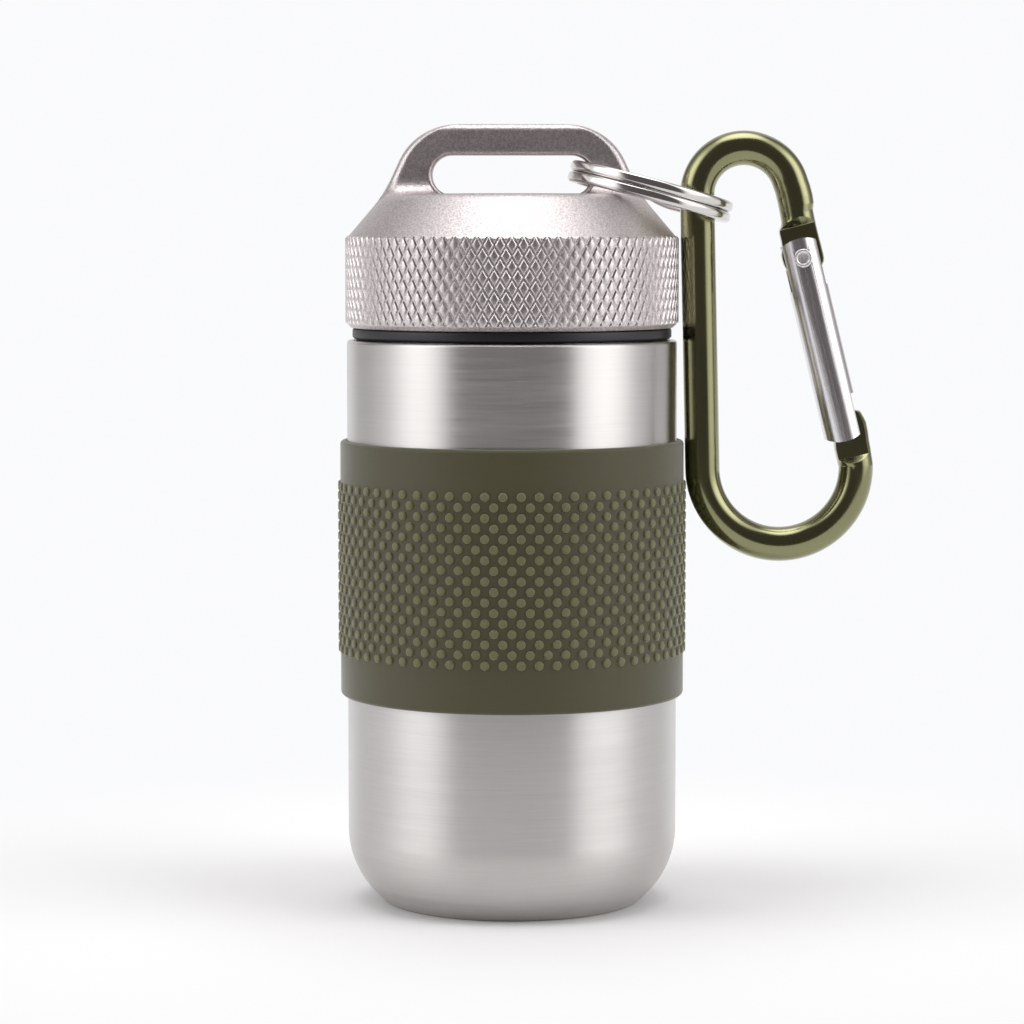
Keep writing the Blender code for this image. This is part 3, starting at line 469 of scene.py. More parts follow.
def moulded_rubber(name, colour, roughness, depth, grain_scale, sheen=0.0):
    """Rubber or silicone: a soft matt skin with a fine grain."""
    def pattern(graph):
        point = graph.place()
        grain = graph.noise(point, grain_scale, 3.0, 0.6)
        cloud = graph.noise(point, RUBBER_CLOUD, 3.0)
        shade = (contrast(grain, 1.6) * 0.4 + cloud * 0.6).clamped()
        return {
            "Base Color": graph.mix(shade, grey_tint(colour, 0.90), grey_tint(colour, 1.10)),
            "Roughness": roughness - 0.04 + 0.08 * cloud,
            "Normal": graph.bump(grain, depth),
        }
    constants = {"Metallic": 0.0, "Specular IOR Level": 0.5, "Sheen Weight": sheen, "Sheen Roughness": 0.4}
    return finish(name, constants, pattern)


def anodised(name, colour, roughness, depth):
    """Dyed anodised metal: glossy, with faint drawing lines and an uneven dye."""
    def pattern(graph):
        point = graph.place()
        x, y, z = graph.parts(point)
        lines = graph.stretched(x, y, z, DYE_LINES_ACROSS, DYE_LINES_ALONG, 2.0)
        cloud = graph.noise(point, DYE_CLOUD, 3.0)
        shade = (contrast(lines, 1.4) * 0.3 + cloud * 0.7).clamped()
        return {
            "Base Color": graph.mix(shade, grey_tint(colour, 0.88), grey_tint(colour, 1.12)),
            "Roughness": roughness - 0.03 + 0.06 * cloud,
            "Normal": graph.bump(graph.noise(point, DYE_RIPPLE, 2.0), depth),
        }
    return finish(name, {"Metallic": 1.0, "Coat Weight": 1.0, "Coat Roughness": 0.12}, pattern)


def drawn_metal(name, colour, roughness, depth, lean):
    """Metal with drawing lines along an axis that leans from upright about Y."""
    def pattern(graph):
        point = graph.place((0, lean, 0), tuple(RIVET))
        x, y, z = graph.parts(point)
        lines = graph.stretched(x, y, z, DRAWN_ACROSS, DRAWN_ALONG, 3.0, 0.65)
        specks = graph.noise(point, DRAWN_SPECKS, 2.0)
        streak = contrast(lines, 2.2)
        shade = (streak * 0.6 + specks * 0.4).clamped()
        return {
            "Base Color": graph.mix(shade, grey_tint(colour, 0.80), grey_tint(colour, 1.12)),
            "Roughness": roughness - 0.05 + 0.12 * streak,
            "Normal": graph.bump(lines * 0.6 + specks * 0.4, depth),
        }
    return finish(name, {"Metallic": 1.0}, pattern)


def polished(name, colour, roughness, depth):
    """Polished wire with hair scratches round the ring and faint waves from the winding."""
    def pattern(graph):
        point = graph.place()
        x, y, z = graph.parts(point)
        scratches = graph.stretched(x, y, z, SCRATCH_ALONG, SCRATCH_ACROSS, 3.0)
        waves = graph.noise(point, WINDING_WAVES, 1.0)
        mark = contrast(scratches, 2.0)
        return {
            "Base Color": graph.mix(mark, grey_tint(colour, 0.93), grey_tint(colour, 1.05)),
            "Roughness": roughness - 0.03 + 0.07 * mark,
            "Normal": graph.bump(waves + scratches * 0.1, depth),
        }
    return finish(name, {"Metallic": 1.0}, pattern)


def arc_points(centre_x, centre_y, radius, start, end, steps=ARC_STEPS):
    """Points on an arc from one angle to another, both ends included."""
    angles = [start + (end - start) * i / steps for i in range(steps + 1)]
    return [(centre_x + radius * cos(a), centre_y + radius * sin(a)) for a in angles]


def rounded(corners, closed=False, steps=ARC_STEPS):
    """Turn corners (x, y, fillet radius) into a line with round corners."""
    points = []
    last = len(corners) - 1
    for index, (x, y, fillet) in enumerate(corners):
        corner = Vector((x, y))
        if fillet == 0 or (not closed and index in (0, last)):
            points.append((x, y))
            continue
        before = Vector(corners[index - 1][:2]) - corner
        after = Vector(corners[(index + 1) % len(corners)][:2]) - corner
        half_angle = before.angle(after) / 2
        start = corner + before.normalized() * fillet / tan(half_angle)
        middle = (before.normalized() + after.normalized()).normalized()
        centre = corner + middle * fillet / sin(half_angle)
        first = start - centre
        turn = pi - 2 * half_angle
        if before.x * after.y - before.y * after.x > 0:
            turn = -turn
        angle = atan2(first.y, first.x)
        points += arc_points(centre.x, centre.y, fillet, angle, angle + turn, steps)
    return points


def made(name, shape):
    """Make an object of a bmesh."""
    mesh = bpy.data.meshes.new(name)
    shape.to_mesh(mesh)
    shape.free()
    obj = bpy.data.objects.new(name, mesh)
    bpy.context.scene.collection.objects.link(obj)
    return obj


def turned(name, profile, steps=ROUND_STEPS):
    """Turn a profile (radius, height), which runs from the top down its outer side, about Z."""
    shape = bmesh.new()
    angles = [2 * pi * i / steps for i in range(steps)]
    rings = []
    for radius, height in profile:
        if radius == 0:
            rings.append([shape.verts.new((0, 0, height))])
        else:
            rings.append([shape.verts.new((radius * cos(a), radius * sin(a), height)) for a in angles])
    pairs = list(zip(rings, rings[1:]))
    if len(rings[0]) > 1:
        pairs.append((rings[-1], rings[0]))
    for upper, lower in pairs:
        if len(upper) == len(lower) == 1:
            continue
        for i in range(steps):
            j = (i + 1) % steps
            corners = [ring[k % len(ring)] for ring, k in ((upper, i), (lower, i), (lower, j), (upper, j))]
            shape.faces.new(list(dict.fromkeys(corners)))
    return made(name, shape)


def lofted(name, sections):
    """Join sections of equally many points into a closed skin with flat ends."""
    shape = bmesh.new()
    rings = [[shape.verts.new(point) for point in section] for section in sections]
    for low, high in zip(rings, rings[1:]):
        for i in range(len(low)):
            j = (i + 1) % len(low)
            shape.faces.new((low[i], low[j], high[j], high[i]))
    shape.faces.new(list(reversed(rings[0])))
    shape.faces.new(rings[-1])
    bmesh.ops.remove_doubles(shape, verts=shape.verts, dist=WELD_DISTANCE)
    bmesh.ops.recalc_face_normals(shape, faces=shape.faces)
    return made(name, shape)


def plate(name, outline, low, high, turn):
    """Raise an outline from one height to another, and turn it into place."""
    sections = [[(x, y, level) for x, y in outline] for level in (low, high)]
    body = lofted(name, sections)
    body.data.transform(turn)
    return body


def applied(obj):
    """Turn an object's modifiers into its own mesh."""
    bpy.context.view_layer.update()
    evaluated = obj.evaluated_get(bpy.context.evaluated_depsgraph_get())
    mesh = bpy.data.meshes.new_from_object(evaluated)
    obj.modifiers.clear()
    obj.data = mesh


def combined(obj, others, operation):
    """Join other shapes to an object or cut them out of it."""
    for other in others:
        boolean = obj.modifiers.new(operation, "BOOLEAN")
        boolean.operation = operation
        boolean.solver = "EXACT"
        boolean.object = other
        applied(obj)
        bpy.data.objects.remove(other, do_unlink=True)


def cleaned(obj):
    """Merge the points that a cut left on top of each other."""
    shape = bmesh.new()
    shape.from_mesh(obj.data)
    bmesh.ops.remove_doubles(shape, verts=shape.verts, dist=WELD_DISTANCE)
    bmesh.ops.dissolve_degenerate(shape, edges=shape.edges, dist=WELD_DISTANCE)
    shape.to_mesh(obj.data)
    shape.free()
    return obj


def dress(obj, body, slot, material, *nodes, smooth_angle=SMOOTH_ANGLE):
    """Give a piece its finish, smooth its round faces, and set it on its body in place of its nodes."""
    obj.data.materials.clear()
    obj.data.materials.append(material)
    obj.data.shade_smooth()
    obj.data.set_sharp_from_angle(angle=smooth_angle)
    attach(obj, body)
    if nodes:
        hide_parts(*nodes)


def recipe(name, inputs):
    """Start a geometry tree with named inputs. It gives the graph and those inputs' values."""
    tree = bpy.data.node_groups.new(name, "GeometryNodeTree")
    tree.interface.new_socket("Geometry", in_out="INPUT", socket_type="NodeSocketGeometry")
    for label, kind in inputs:
        tree.interface.new_socket(label, in_out="INPUT", socket_type="NodeSocket" + kind)
    tree.interface.new_socket("Geometry", in_out="OUTPUT", socket_type="NodeSocketGeometry")
    graph = Graph(tree)
    entry = tree.nodes.new("NodeGroupInput")
    return graph, {socket.name: Value(graph, socket) for socket in entry.outputs if socket.name}


def served(graph, geometry, material):
    """End a geometry tree with plain faces in their material."""
    real = graph.add("GeometryNodeRealizeInstances", None, {"Geometry": geometry})
    dyed = graph.add("GeometryNodeSetMaterial", None, {"Geometry": real, "Material": material})
    end = graph.tree.nodes.new("NodeGroupOutput")
    graph.feed(end.inputs["Geometry"], dyed)
    return graph.tree


def grown(seed, tree, values):
    """Run a geometry tree on a seed object and keep what it makes as a plain mesh."""
    modifier = seed.modifiers.new(seed.name, "NODES")
    modifier.node_group = tree
    sockets = {item.name: item.identifier for item in tree.interface.items_tree if item.in_out == "INPUT"}
    for label, value in values.items():
        modifier[sockets[label]] = value
    applied(seed)
    seed.data.name = seed.name
    return seed


def empty_seed(name):
    """An object with no shape of its own, for a tree that makes all of it."""
    return made(name, bmesh.new())


def round_rows_tree():
    """Repeats a shape round Z in rows, each row half a step on from the last."""
    inputs = [("Round", "Int"), ("Rows", "Int"), ("Row Pitch", "Float"), ("Material", "Material")]
    graph, given = recipe("round_rows", inputs)
    total = given["Round"] * given["Rows"]
    index = graph.add("GeometryNodeInputIndex")
    row = graph.math("FLOOR", (index + 0.5) / given["Round"])
    column = index - row * given["Round"]
    shift = graph.math("MODULO", row, 2) * 0.5
    angle = (column + shift) / given["Round"] * (2 * pi)
    position = graph.vector(0.0, 0.0, row * given["Row Pitch"])
    points = graph.add("GeometryNodePoints", None, {"Count": total, "Position": position})
    turn = graph.add("FunctionNodeEulerToRotation", None, {0: graph.vector(0.0, 0.0, angle)})
    values = {"Points": points, "Instance": given["Geometry"], "Rotation": turn}
    rows = graph.add("GeometryNodeInstanceOnPoints", None, values)
    return served(graph, rows, given["Material"])


def thread_tree():
    """Winds a right-hand thread ridge up a wall. A negative height grows it inwards."""
    inputs = [("Radius", "Float"), ("Bottom", "Float"), ("Turns", "Float"), ("Pitch", "Float"),
              ("Height", "Float"), ("Sink", "Float"), ("Root", "Float"), ("Crest", "Float"),
              ("Points", "Int"), ("Material", "Material")]
    graph, given = recipe("thread_ridge", inputs)
    line = graph.add("GeometryNodeCurvePrimitiveLine")
    line = graph.add("GeometryNodeResampleCurve", None, {"Curve": line, "Count": given["Points"]})
    share = graph.add("GeometryNodeSplineParameter")
    turned_by = share * given["Turns"]
    angle = turned_by * (2 * pi)
    x = graph.math("COSINE", angle) * given["Radius"]
    y = graph.math("SINE", angle) * given["Radius"]
    spot = graph.vector(x, y, given["Bottom"] + turned_by * given["Pitch"])
    helix = graph.add("GeometryNodeSetPosition", None, {"Geometry": line, "Position": spot})
    helix = graph.add("GeometryNodeSetCurveNormal", {"mode": "Z_UP"}, {"Curve": helix})
    nearest_end = graph.math("MINIMUM", turned_by, given["Turns"] - turned_by)
    taper = (nearest_end * THREAD_TAPER_PER_TURN + THREAD_END_SHARE).smooth()
    helix = graph.add("GeometryNodeSetCurveRadius", None, {"Curve": helix, "Radius": taper})
    sunk = given["Sink"] * -1.0
    half_root = given["Root"] * 0.5
    half_crest = given["Crest"] * 0.5
    corners = {
        "Point 1": graph.vector(sunk, half_root * -1.0, 0.0),
        "Point 2": graph.vector(given["Height"], half_crest * -1.0, 0.0),
        "Point 3": graph.vector(given["Height"], half_crest, 0.0),
        "Point 4": graph.vector(sunk, half_root, 0.0),
    }
    section = graph.add("GeometryNodeCurvePrimitiveQuadrilateral", {"mode": "POINTS"}, corners)
    values = {"Curve": helix, "Profile Curve": section, "Scale": taper, "Fill Caps": True}
    ridge = graph.add("GeometryNodeCurveToMesh", None, values)
    return served(graph, ridge, given["Material"])


def split_ring_tree():
    """Winds a flat-sided wire into two turns that touch, with one step between them."""
    inputs = [("Radius", "Float"), ("Pitch", "Float"), ("Step Angle", "Float"), ("Width", "Float"),
              ("Height", "Float"), ("Round", "Float"), ("Points", "Int"), ("Material", "Material")]
    graph, given = recipe("split_ring_wire", inputs)
    line = graph.add("GeometryNodeCurvePrimitiveLine")
    line = graph.add("GeometryNodeResampleCurve", None, {"Curve": line, "Count": given["Points"]})
    share = graph.add("GeometryNodeSplineParameter")
    step = given["Step Angle"]
    angle = step + share * (4 * pi - 2 * step)
    climb = ((angle - 2 * pi + step) / (2 * step)).smooth()
    x = graph.math("COSINE", angle) * given["Radius"]
    y = graph.math("SINE", angle) * given["Radius"]
    spot = graph.vector(x, y, (climb - 0.5) * given["Pitch"])
    coil = graph.add("GeometryNodeSetPosition", None, {"Geometry": line, "Position": spot})
    coil = graph.add("GeometryNodeSetCurveNormal", {"mode": "Z_UP"}, {"Curve": coil})
    values = {"Width": given["Width"], "Height": given["Height"]}
    section = graph.add("GeometryNodeCurvePrimitiveQuadrilateral", {"mode": "RECTANGLE"}, values)
    values = {"Curve": section, "Radius": given["Round"], "Count": WIRE_CORNER_POINTS}
    section = graph.add("GeometryNodeFilletCurve", {"mode": "POLY"}, values)
    values = {"Curve": coil, "Profile Curve": section, "Fill Caps": True}
    wire = graph.add("GeometryNodeCurveToMesh", None, values)
    return served(graph, wire, given["Material"])


LOOKS = {
    "body": brushed_round("brushed_steel", (0.595, 0.575, 0.565), 0.34, 0.004 * MM),
    "neck": brushed_round("turned_steel", (0.58, 0.56, 0.54), 0.28, 0.006 * MM),
    "cap": bead_blasted("blasted_cap", (0.59, 0.54, 0.545), 0.42, 0.045 * MM),
    # The knurl is the cap's own blasted metal in a lighter copy: painted light that brightens it past the
    # cap's colour
    "knurl": bead_blasted("blasted_knurl_painted_bright", (0.66, 0.61, 0.61), 0.38, 0.006 * MM),
    "sleeve": moulded_rubber("olive_silicone", (0.062, 0.055, 0.021), 0.58, 0.012 * MM, 2600, 0.5),
    # The grip dots are the sleeve's silicone in a lighter copy: a painted highlight on their lit tops
    "dots": moulded_rubber("olive_silicone_dots_painted_highlight", (0.135, 0.128, 0.055), 0.58, 0.008 * MM, 3200, 0.5),
    "gasket": moulded_rubber("black_rubber", (0.012, 0.010, 0.014), 0.42, 0.006 * MM, 2200),
    "seal": moulded_rubber("milky_silicone", (0.70, 0.70, 0.68), 0.45, 0.006 * MM, 2200),
    "ring": polished("polished_steel", (0.70, 0.68, 0.66), 0.13, 0.006 * MM),
    "carabiner": anodised("olive_anodised", (0.225, 0.224, 0.102), 0.17, 0.0012 * MM),
    "gate": drawn_metal("satin_aluminium", (0.86, 0.83, 0.85), 0.23, 0.008 * MM, GATE_LEAN),
    "rivet": bead_blasted("burnished_rivet", (0.92, 0.88, 0.89), 0.44, 0.002 * MM),
    "spring": drawn_metal("drawn_spring_steel", (0.50, 0.49, 0.48), 0.25, 0.002 * MM, 0.0),
}


def body_cup():
    """The drawn steel cup with its rounded corner, flat base and rounded rim."""
    corner_centre = BODY_RADIUS - CORNER_RADIUS
    bore = BODY_RADIUS - BODY_WALL
    base_angle = asin(CORNER_CENTRE_HEIGHT / CORNER_RADIUS)
    base_flat = corner_centre + CORNER_RADIUS * cos(base_angle)
    centre = (corner_centre, CORNER_CENTRE_HEIGHT)
    outer = arc_points(*centre, CORNER_RADIUS, 0, -base_angle, LONG_ARC_STEPS)
    edge = rounded([outer[-2] + (0,), (base_flat, 0, BASE_EDGE_ROUND), (0, 0, 0)])
    inner_radius = CORNER_RADIUS - BODY_WALL
    inner_angle = asin((CORNER_CENTRE_HEIGHT - BASE_THICKNESS) / inner_radius)
    inner = arc_points(*centre, inner_radius, -inner_angle, 0, LONG_ARC_STEPS)
    rim = rounded([
        (bore, BODY_HEIGHT, 0),
        (BODY_RADIUS, BODY_HEIGHT, RIM_ROUND),
        (BODY_RADIUS, 0, 0),
    ])
    profile = rim[:-1] + outer[:-1] + edge[1:] + [(0, BASE_THICKNESS)] + inner
    dress(turned("steel_cup", profile), "canister", "brushed_steel", LOOKS["body"], "body_cup")


def thread_ridge(name, body, slot, radius, bottom, way):
    """A thread's ridge on a wall: it grows outwards for way 1, and inwards for way -1."""
    ridge = grown(empty_seed(name), THREAD, {
        "Radius": radius, "Bottom": bottom, "Turns": THREAD_TURNS, "Pitch": THREAD_PITCH,
        "Height": way * THREAD_HEIGHT, "Sink": way * THREAD_SINK, "Root": THREAD_ROOT,
        "Crest": THREAD_CREST, "Points": THREAD_POINTS, "Material": LOOKS["neck"],
    })
    dress(ridge, body, slot, LOOKS["neck"])


def neck():
    """The turned neck, its thread, and the gasket on its shoulder."""
    outside = CAP_RADIUS - CAP_WALL - THREAD_ROOM
    bore = outside - NECK_WALL
    spigot = NECK_HIGH.x
    profile = rounded([
        (bore, NECK_HIGH.z, NECK_CHAMFER / 2),
        (outside, NECK_HIGH.z, NECK_CHAMFER),
        (outside, BODY_HEIGHT, 0),
        (spigot, BODY_HEIGHT, 0),
        (spigot, NECK_LOW.z, NECK_CHAMFER / 2),
        (bore, NECK_LOW.z, NECK_CHAMFER / 2),
    ], closed=True, steps=EDGE_STEPS)
    ring = turned("threaded_neck", profile)
    dress(ring, "canister", "turned_steel", LOOKS["neck"], "neck_ring")
    thread_ridge("neck_thread", "canister", "turned_steel", outside, BODY_HEIGHT + THREAD_START, 1)

    inside = outside + SEAT_GAP
    band = rounded([
        (inside, GASKET_HIGH.z, 0),
        (GASKET_HIGH.x, GASKET_HIGH.z, SOFT_EDGE),
        (GASKET_HIGH.x, GASKET_LOW.z + GASKET_BEVEL, SOFT_EDGE / 2),
        (GASKET_HIGH.x - GASKET_BEVEL, GASKET_LOW.z, SOFT_EDGE / 2),
        (inside, GASKET_LOW.z, 0),
    ], steps=EDGE_STEPS)
    dress(turned("rubber_gasket", band), "canister", "black_rubber", LOOKS["gasket"], "shoulder_gasket")


def sleeve():
    """The silicone sleeve and its rows of round grip dots."""
    inside = BODY_RADIUS + SEAT_GAP
    radius = SLEEVE_HIGH.x
    profile = rounded([
        (inside, SLEEVE_HIGH.z, 0),
        (radius, SLEEVE_HIGH.z, SLEEVE_EDGE_ROUND),
        (radius, SLEEVE_LOW.z, SLEEVE_EDGE_ROUND),
        (inside, SLEEVE_LOW.z, 0),
    ])
    dress(turned("silicone_sleeve", profile), "canister", "silicone", LOOKS["sleeve"], "grip_sleeve")

    half = DOT_DIAMETER / 2
    dome = rounded([
        (0, DOT_HEIGHT, 0),
        (half, DOT_HEIGHT, DOT_HEIGHT * DOT_CROWN_SHARE),
        (half, -SEAT_GAP, 0),
        (0, -SEAT_GAP, 0),
    ], steps=DOT_ARC_STEPS)
    dot = turned("grip_dots", dome, DOT_SIDES)
    low_row = DOT_TOP_ROW - (DOT_ROWS - 1) * DOT_ROW_PITCH
    dot.data.transform(Matrix.Translation((radius, 0, low_row)) @ Matrix.Rotation(pi / 2, 4, "Y"))
    # The dots take the lighter silicone, a painted highlight on their tops
    dots = grown(dot, ROUND_ROWS, {
        "Round": DOTS_ROUND, "Rows": DOT_ROWS, "Row Pitch": DOT_ROW_PITCH, "Material": LOOKS["dots"],
    })
    dress(dots, "canister", "silicone", LOOKS["dots"])


def handle_side(crown_radius, crown_top):
    """The handle's right edge, (half length, height), from the cone up to its flat top."""
    foot_depth = HANDLE_FOOT_BLEND * tan((CONE_ANGLE - HANDLE_SIDE_ANGLE) / 2) * cos(CONE_ANGLE) + OVERRUN
    shoulder = crown_radius - (CAP_HIGH.z - crown_top) * tan(HANDLE_SIDE_ANGLE)
    edge = rounded([
        (crown_radius + foot_depth * tan(CONE_ANGLE), crown_top - foot_depth, 0),
        (crown_radius, crown_top, HANDLE_FOOT_BLEND),
        (shoulder, CAP_HIGH.z, HANDLE_CORNER_RADIUS),
        (0, CAP_HIGH.z, 0),
    ], steps=LONG_ARC_STEPS)
    return edge[1:-1]


def side_at(side, height):
    """The half length of an edge line at a height."""
    for (x0, z0), (x1, z1) in zip(side, side[1:]):
        if z0 <= height <= z1 and z1 > z0:
            return x0 + (x1 - x0) * (height - z0) / (z1 - z0)
    return side[-1][0]


def handle_section(half_length, half_thickness, corner, height):
    """The handle in plan: round corners, and ends that are turned with the cone."""
    x = half_length - corner
    y = half_thickness - corner
    quarter = [(half_length, y * i / HANDLE_END_STEPS) for i in range(1, HANDLE_END_STEPS)]
    quarter += arc_points(x, y, corner, 0, pi / 2)
    points = []
    for side_x, side_y in ((1, 1), (-1, 1), (-1, -1), (1, -1)):
        order = quarter if side_x == side_y else quarter[::-1]
        points += [(side_x * px, side_y * py) for px, py in order]
    turned_points = []
    for px, py in points:
        drop = half_length - sqrt(half_length ** 2 - py ** 2)
        turned_points.append((px - copysign(drop, px), py, height))
    return turned_points


def handle(crown_radius, crown_top):
    """Loft the handle from its foot inside the cone to its top, with its front fillets."""
    side = handle_side(crown_radius, crown_top)
    foot, foot_top = side[0]
    half = HANDLE_THICKNESS / 2
    flare_bottom = crown_top - CROWN_EDGE_ROUND * (1 - sin(CONE_ANGLE))
    flare_top = crown_top + HANDLE_FRONT_FILLET
    edge_start = CAP_HIGH.z - HANDLE_EDGE_ROUND
    angles = [i * pi / 2 / ARC_STEPS for i in range(ARC_STEPS + 1)]
    heights = {foot_top - OVERRUN, flare_bottom}
    heights |= {z for _, z in side if z < edge_start}
    heights |= {crown_top + HANDLE_FRONT_FILLET * (1 - cos(angle)) for angle in angles}
    heights |= {edge_start + HANDLE_EDGE_ROUND * sin(angle) for angle in angles}
    sections = []
    last = None
    for height in sorted(heights):
        if last is not None and height - last < LEAST_LAYER:
            continue
        last = height
        length = side_at(side, height) if height > foot_top else foot
        flare = 0
        if crown_top <= height < flare_top:
            rise = flare_top - height
            flare = HANDLE_FRONT_FILLET - sqrt(max(HANDLE_FRONT_FILLET ** 2 - rise ** 2, 0))
        elif flare_bottom < height < crown_top:
            flare = HANDLE_FRONT_FILLET * (height - flare_bottom) / (crown_top - flare_bottom)
        pull = 0
        if height > edge_start:
            rise = height - edge_start
            pull = HANDLE_EDGE_ROUND - sqrt(max(HANDLE_EDGE_ROUND ** 2 - rise ** 2, 0))
        corner = HANDLE_EDGE_ROUND + flare
        sections.append(handle_section(length, half + flare - pull, corner, height))
    return lofted("handle", sections)


def eye_cutter(crown_radius, crown_top):
    """The eye's cutter: a slot with round ends that flares at the handle's two faces."""
    radius = EYE_HEIGHT / 2
    half_span = crown_radius - PILLAR_WIDTH - radius
    centre = crown_top + radius - EYE_SINK
    face = HANDLE_THICKNESS / 2
    out = face + HANDLE_FRONT_FILLET + OVERRUN
    levels = [(-out, EYE_EDGE_ROUND)]
    for i in range(-ARC_STEPS, ARC_STEPS + 1):
        angle = abs(i) * pi / 2 / ARC_STEPS
        depth = face - EYE_EDGE_ROUND + EYE_EDGE_ROUND * sin(angle)
        if i:
            levels.append((copysign(depth, i), EYE_EDGE_ROUND * (1 - cos(angle))))
    levels.append((out, EYE_EDGE_ROUND))
    sections = []
    for y, flare in sorted(levels):
        outline = arc_points(half_span, centre, radius + flare, -pi / 2, pi / 2, LONG_ARC_STEPS)
        outline += arc_points(-half_span, centre, radius + flare, pi / 2, 3 * pi / 2, LONG_ARC_STEPS)
        sections.append([(x, y, z) for x, z in outline])
    return lofted("eye", sections)


def cap():
    """The seal, and the cap's shell with its handle, its internal thread and its knurl."""
    bore = CAP_RADIUS - CAP_WALL
    skirt_top = SKIRT_BOTTOM + SKIRT_HEIGHT
    crown_top = skirt_top + CROWN_HEIGHT
    crown_radius = CAP_RADIUS - CROWN_HEIGHT * tan(CONE_ANGLE)
    root = CAP_RADIUS - KNURL_DEPTH
    root_top = skirt_top + KNURL_DEPTH / tan(CONE_ANGLE)
    outside = rounded([
        (0, crown_top, 0),
        (crown_radius, crown_top, CROWN_EDGE_ROUND),
        (root, root_top, 0),
        (root, SKIRT_BOTTOM + SKIRT_CHAMFER - KNURL_DEPTH, 0),
        (CAP_RADIUS - SKIRT_CHAMFER, SKIRT_BOTTOM, 0),
        (0, SKIRT_BOTTOM, 0),
    ])
    shell = turned("knurled_cap", outside)
    grip = handle(crown_radius, crown_top)
    combined(grip, [eye_cutter(crown_radius, crown_top)], "DIFFERENCE")
    combined(shell, [grip], "UNION")

    ledge = SEAL_HIGH.z + SEAT_GAP
    mouth = bore + BORE_CHAMFER
    hollow = turned("hollow", [
        (0, crown_top - CROWN_THICKNESS),
        (bore - RECESS_INSET, crown_top - CROWN_THICKNESS),
        (bore - RECESS_INSET, ledge),
        (bore, ledge),
        (bore, SKIRT_BOTTOM + BORE_CHAMFER),
        (mouth, SKIRT_BOTTOM),
        (mouth, SKIRT_BOTTOM - OVERRUN),
        (0, SKIRT_BOTTOM - OVERRUN),
    ])
    combined(shell, [hollow], "DIFFERENCE")
    dress(cleaned(shell), "cap", "blasted_metal", LOOKS["cap"], "cap_shell")

    # The knurl takes the lighter copy of the cap's metal, which is painted light
    knurl = grown(knurl_sector(skirt_top), ROUND_ROWS, {
        "Round": KNURL_COUNT, "Rows": 1, "Row Pitch": 0.0, "Material": LOOKS["knurl"],
    })
    dress(knurl, "cap", "blasted_metal", LOOKS["knurl"])

    thread_bottom = BODY_HEIGHT + THREAD_START - THREAD_PITCH / 2
    thread_ridge("cap_thread", "cap", "blasted_metal", bore, thread_bottom, -1)

    inside = SEAL_HIGH.x - SEAL_BAND
    profile = rounded([
        (inside, SEAL_HIGH.z, SOFT_EDGE),
        (SEAL_HIGH.x, SEAL_HIGH.z, SOFT_EDGE),
        (SEAL_HIGH.x, SEAL_LOW.z, SOFT_EDGE),
        (inside, SEAL_LOW.z, SOFT_EDGE),
    ], closed=True, steps=EDGE_STEPS)
    dress(turned("silicone_seal", profile), "cap_lift", "clear_silicone", LOOKS["seal"], "cap_seal")


def knurl_sector(skirt_top):
    """One pitch of the diamond knurl at +X: a column of raised diamonds, and the next, half a step on."""
    half_width = pi / KNURL_COUNT
    half_height = KNURL_DIAMOND_HEIGHT / 2
    base = CAP_RADIUS - KNURL_DEPTH - KNURL_SINK
    rows = ceil(SKIRT_HEIGHT / KNURL_DIAMOND_HEIGHT) + 1
    chamfer_start = Vector((CAP_RADIUS, 0, SKIRT_BOTTOM + SKIRT_CHAMFER))
    cone_start = Vector((CAP_RADIUS + KNURL_PROUD, 0, skirt_top))
    cone_normal = Vector((cos(CONE_ANGLE), 0, sin(CONE_ANGLE)))
    sector = bmesh.new()
    for column in (0, 1):
        shape = bmesh.new()
        for row in range(rows):
            height = SKIRT_BOTTOM - KNURL_DROP + (row + column / 2) * KNURL_DIAMOND_HEIGHT
            layers = []
            for radius, share in ((base, 1.0), (CAP_RADIUS, KNURL_FLAT_SHARE)):
                layer = []
                for across, up in ((1, 0), (0, 1), (-1, 0), (0, -1)):
                    angle = across * share * half_width
                    z = height + up * share * half_height
                    layer.append(shape.verts.new((radius * cos(angle), radius * sin(angle), z)))
                layers.append(layer)
            low, high = layers
            for i in range(4):
                j = (i + 1) % 4
                shape.faces.new((low[i], low[j], high[j], high[i]))
            shape.faces.new(high)
            shape.faces.new(list(reversed(low)))
        for point, normal in ((cone_start, cone_normal), (chamfer_start, Vector((1, 0, -1)).normalized())):
            whole = list(shape.verts) + list(shape.edges) + list(shape.faces)
            plane = {"plane_co": point, "plane_no": normal}
            cut = bmesh.ops.bisect_plane(shape, geom=whole, clear_outer=True, **plane)
            edges = [item for item in cut["geom_cut"] if isinstance(item, bmesh.types.BMEdge)]
            bmesh.ops.edgeloop_fill(shape, edges=edges)
        bmesh.ops.recalc_face_normals(shape, faces=shape.faces)
        root = base + KNURL_SINK
        raised = [edge for edge in shape.edges if min(v.co.xy.length for v in edge.verts) > root]
        bmesh.ops.bevel(shape, geom=raised, offset=KNURL_EDGE, segments=1, affect="EDGES", profile=0.5)
        bmesh.ops.rotate(shape, verts=shape.verts, matrix=Matrix.Rotation(column * half_width, 3, "Z"))
        column_mesh = bpy.data.meshes.new("knurl_column")
        shape.to_mesh(column_mesh)
        shape.free()
        sector.from_mesh(column_mesh)
        bpy.data.meshes.remove(column_mesh)
    return made("knurl", sector)


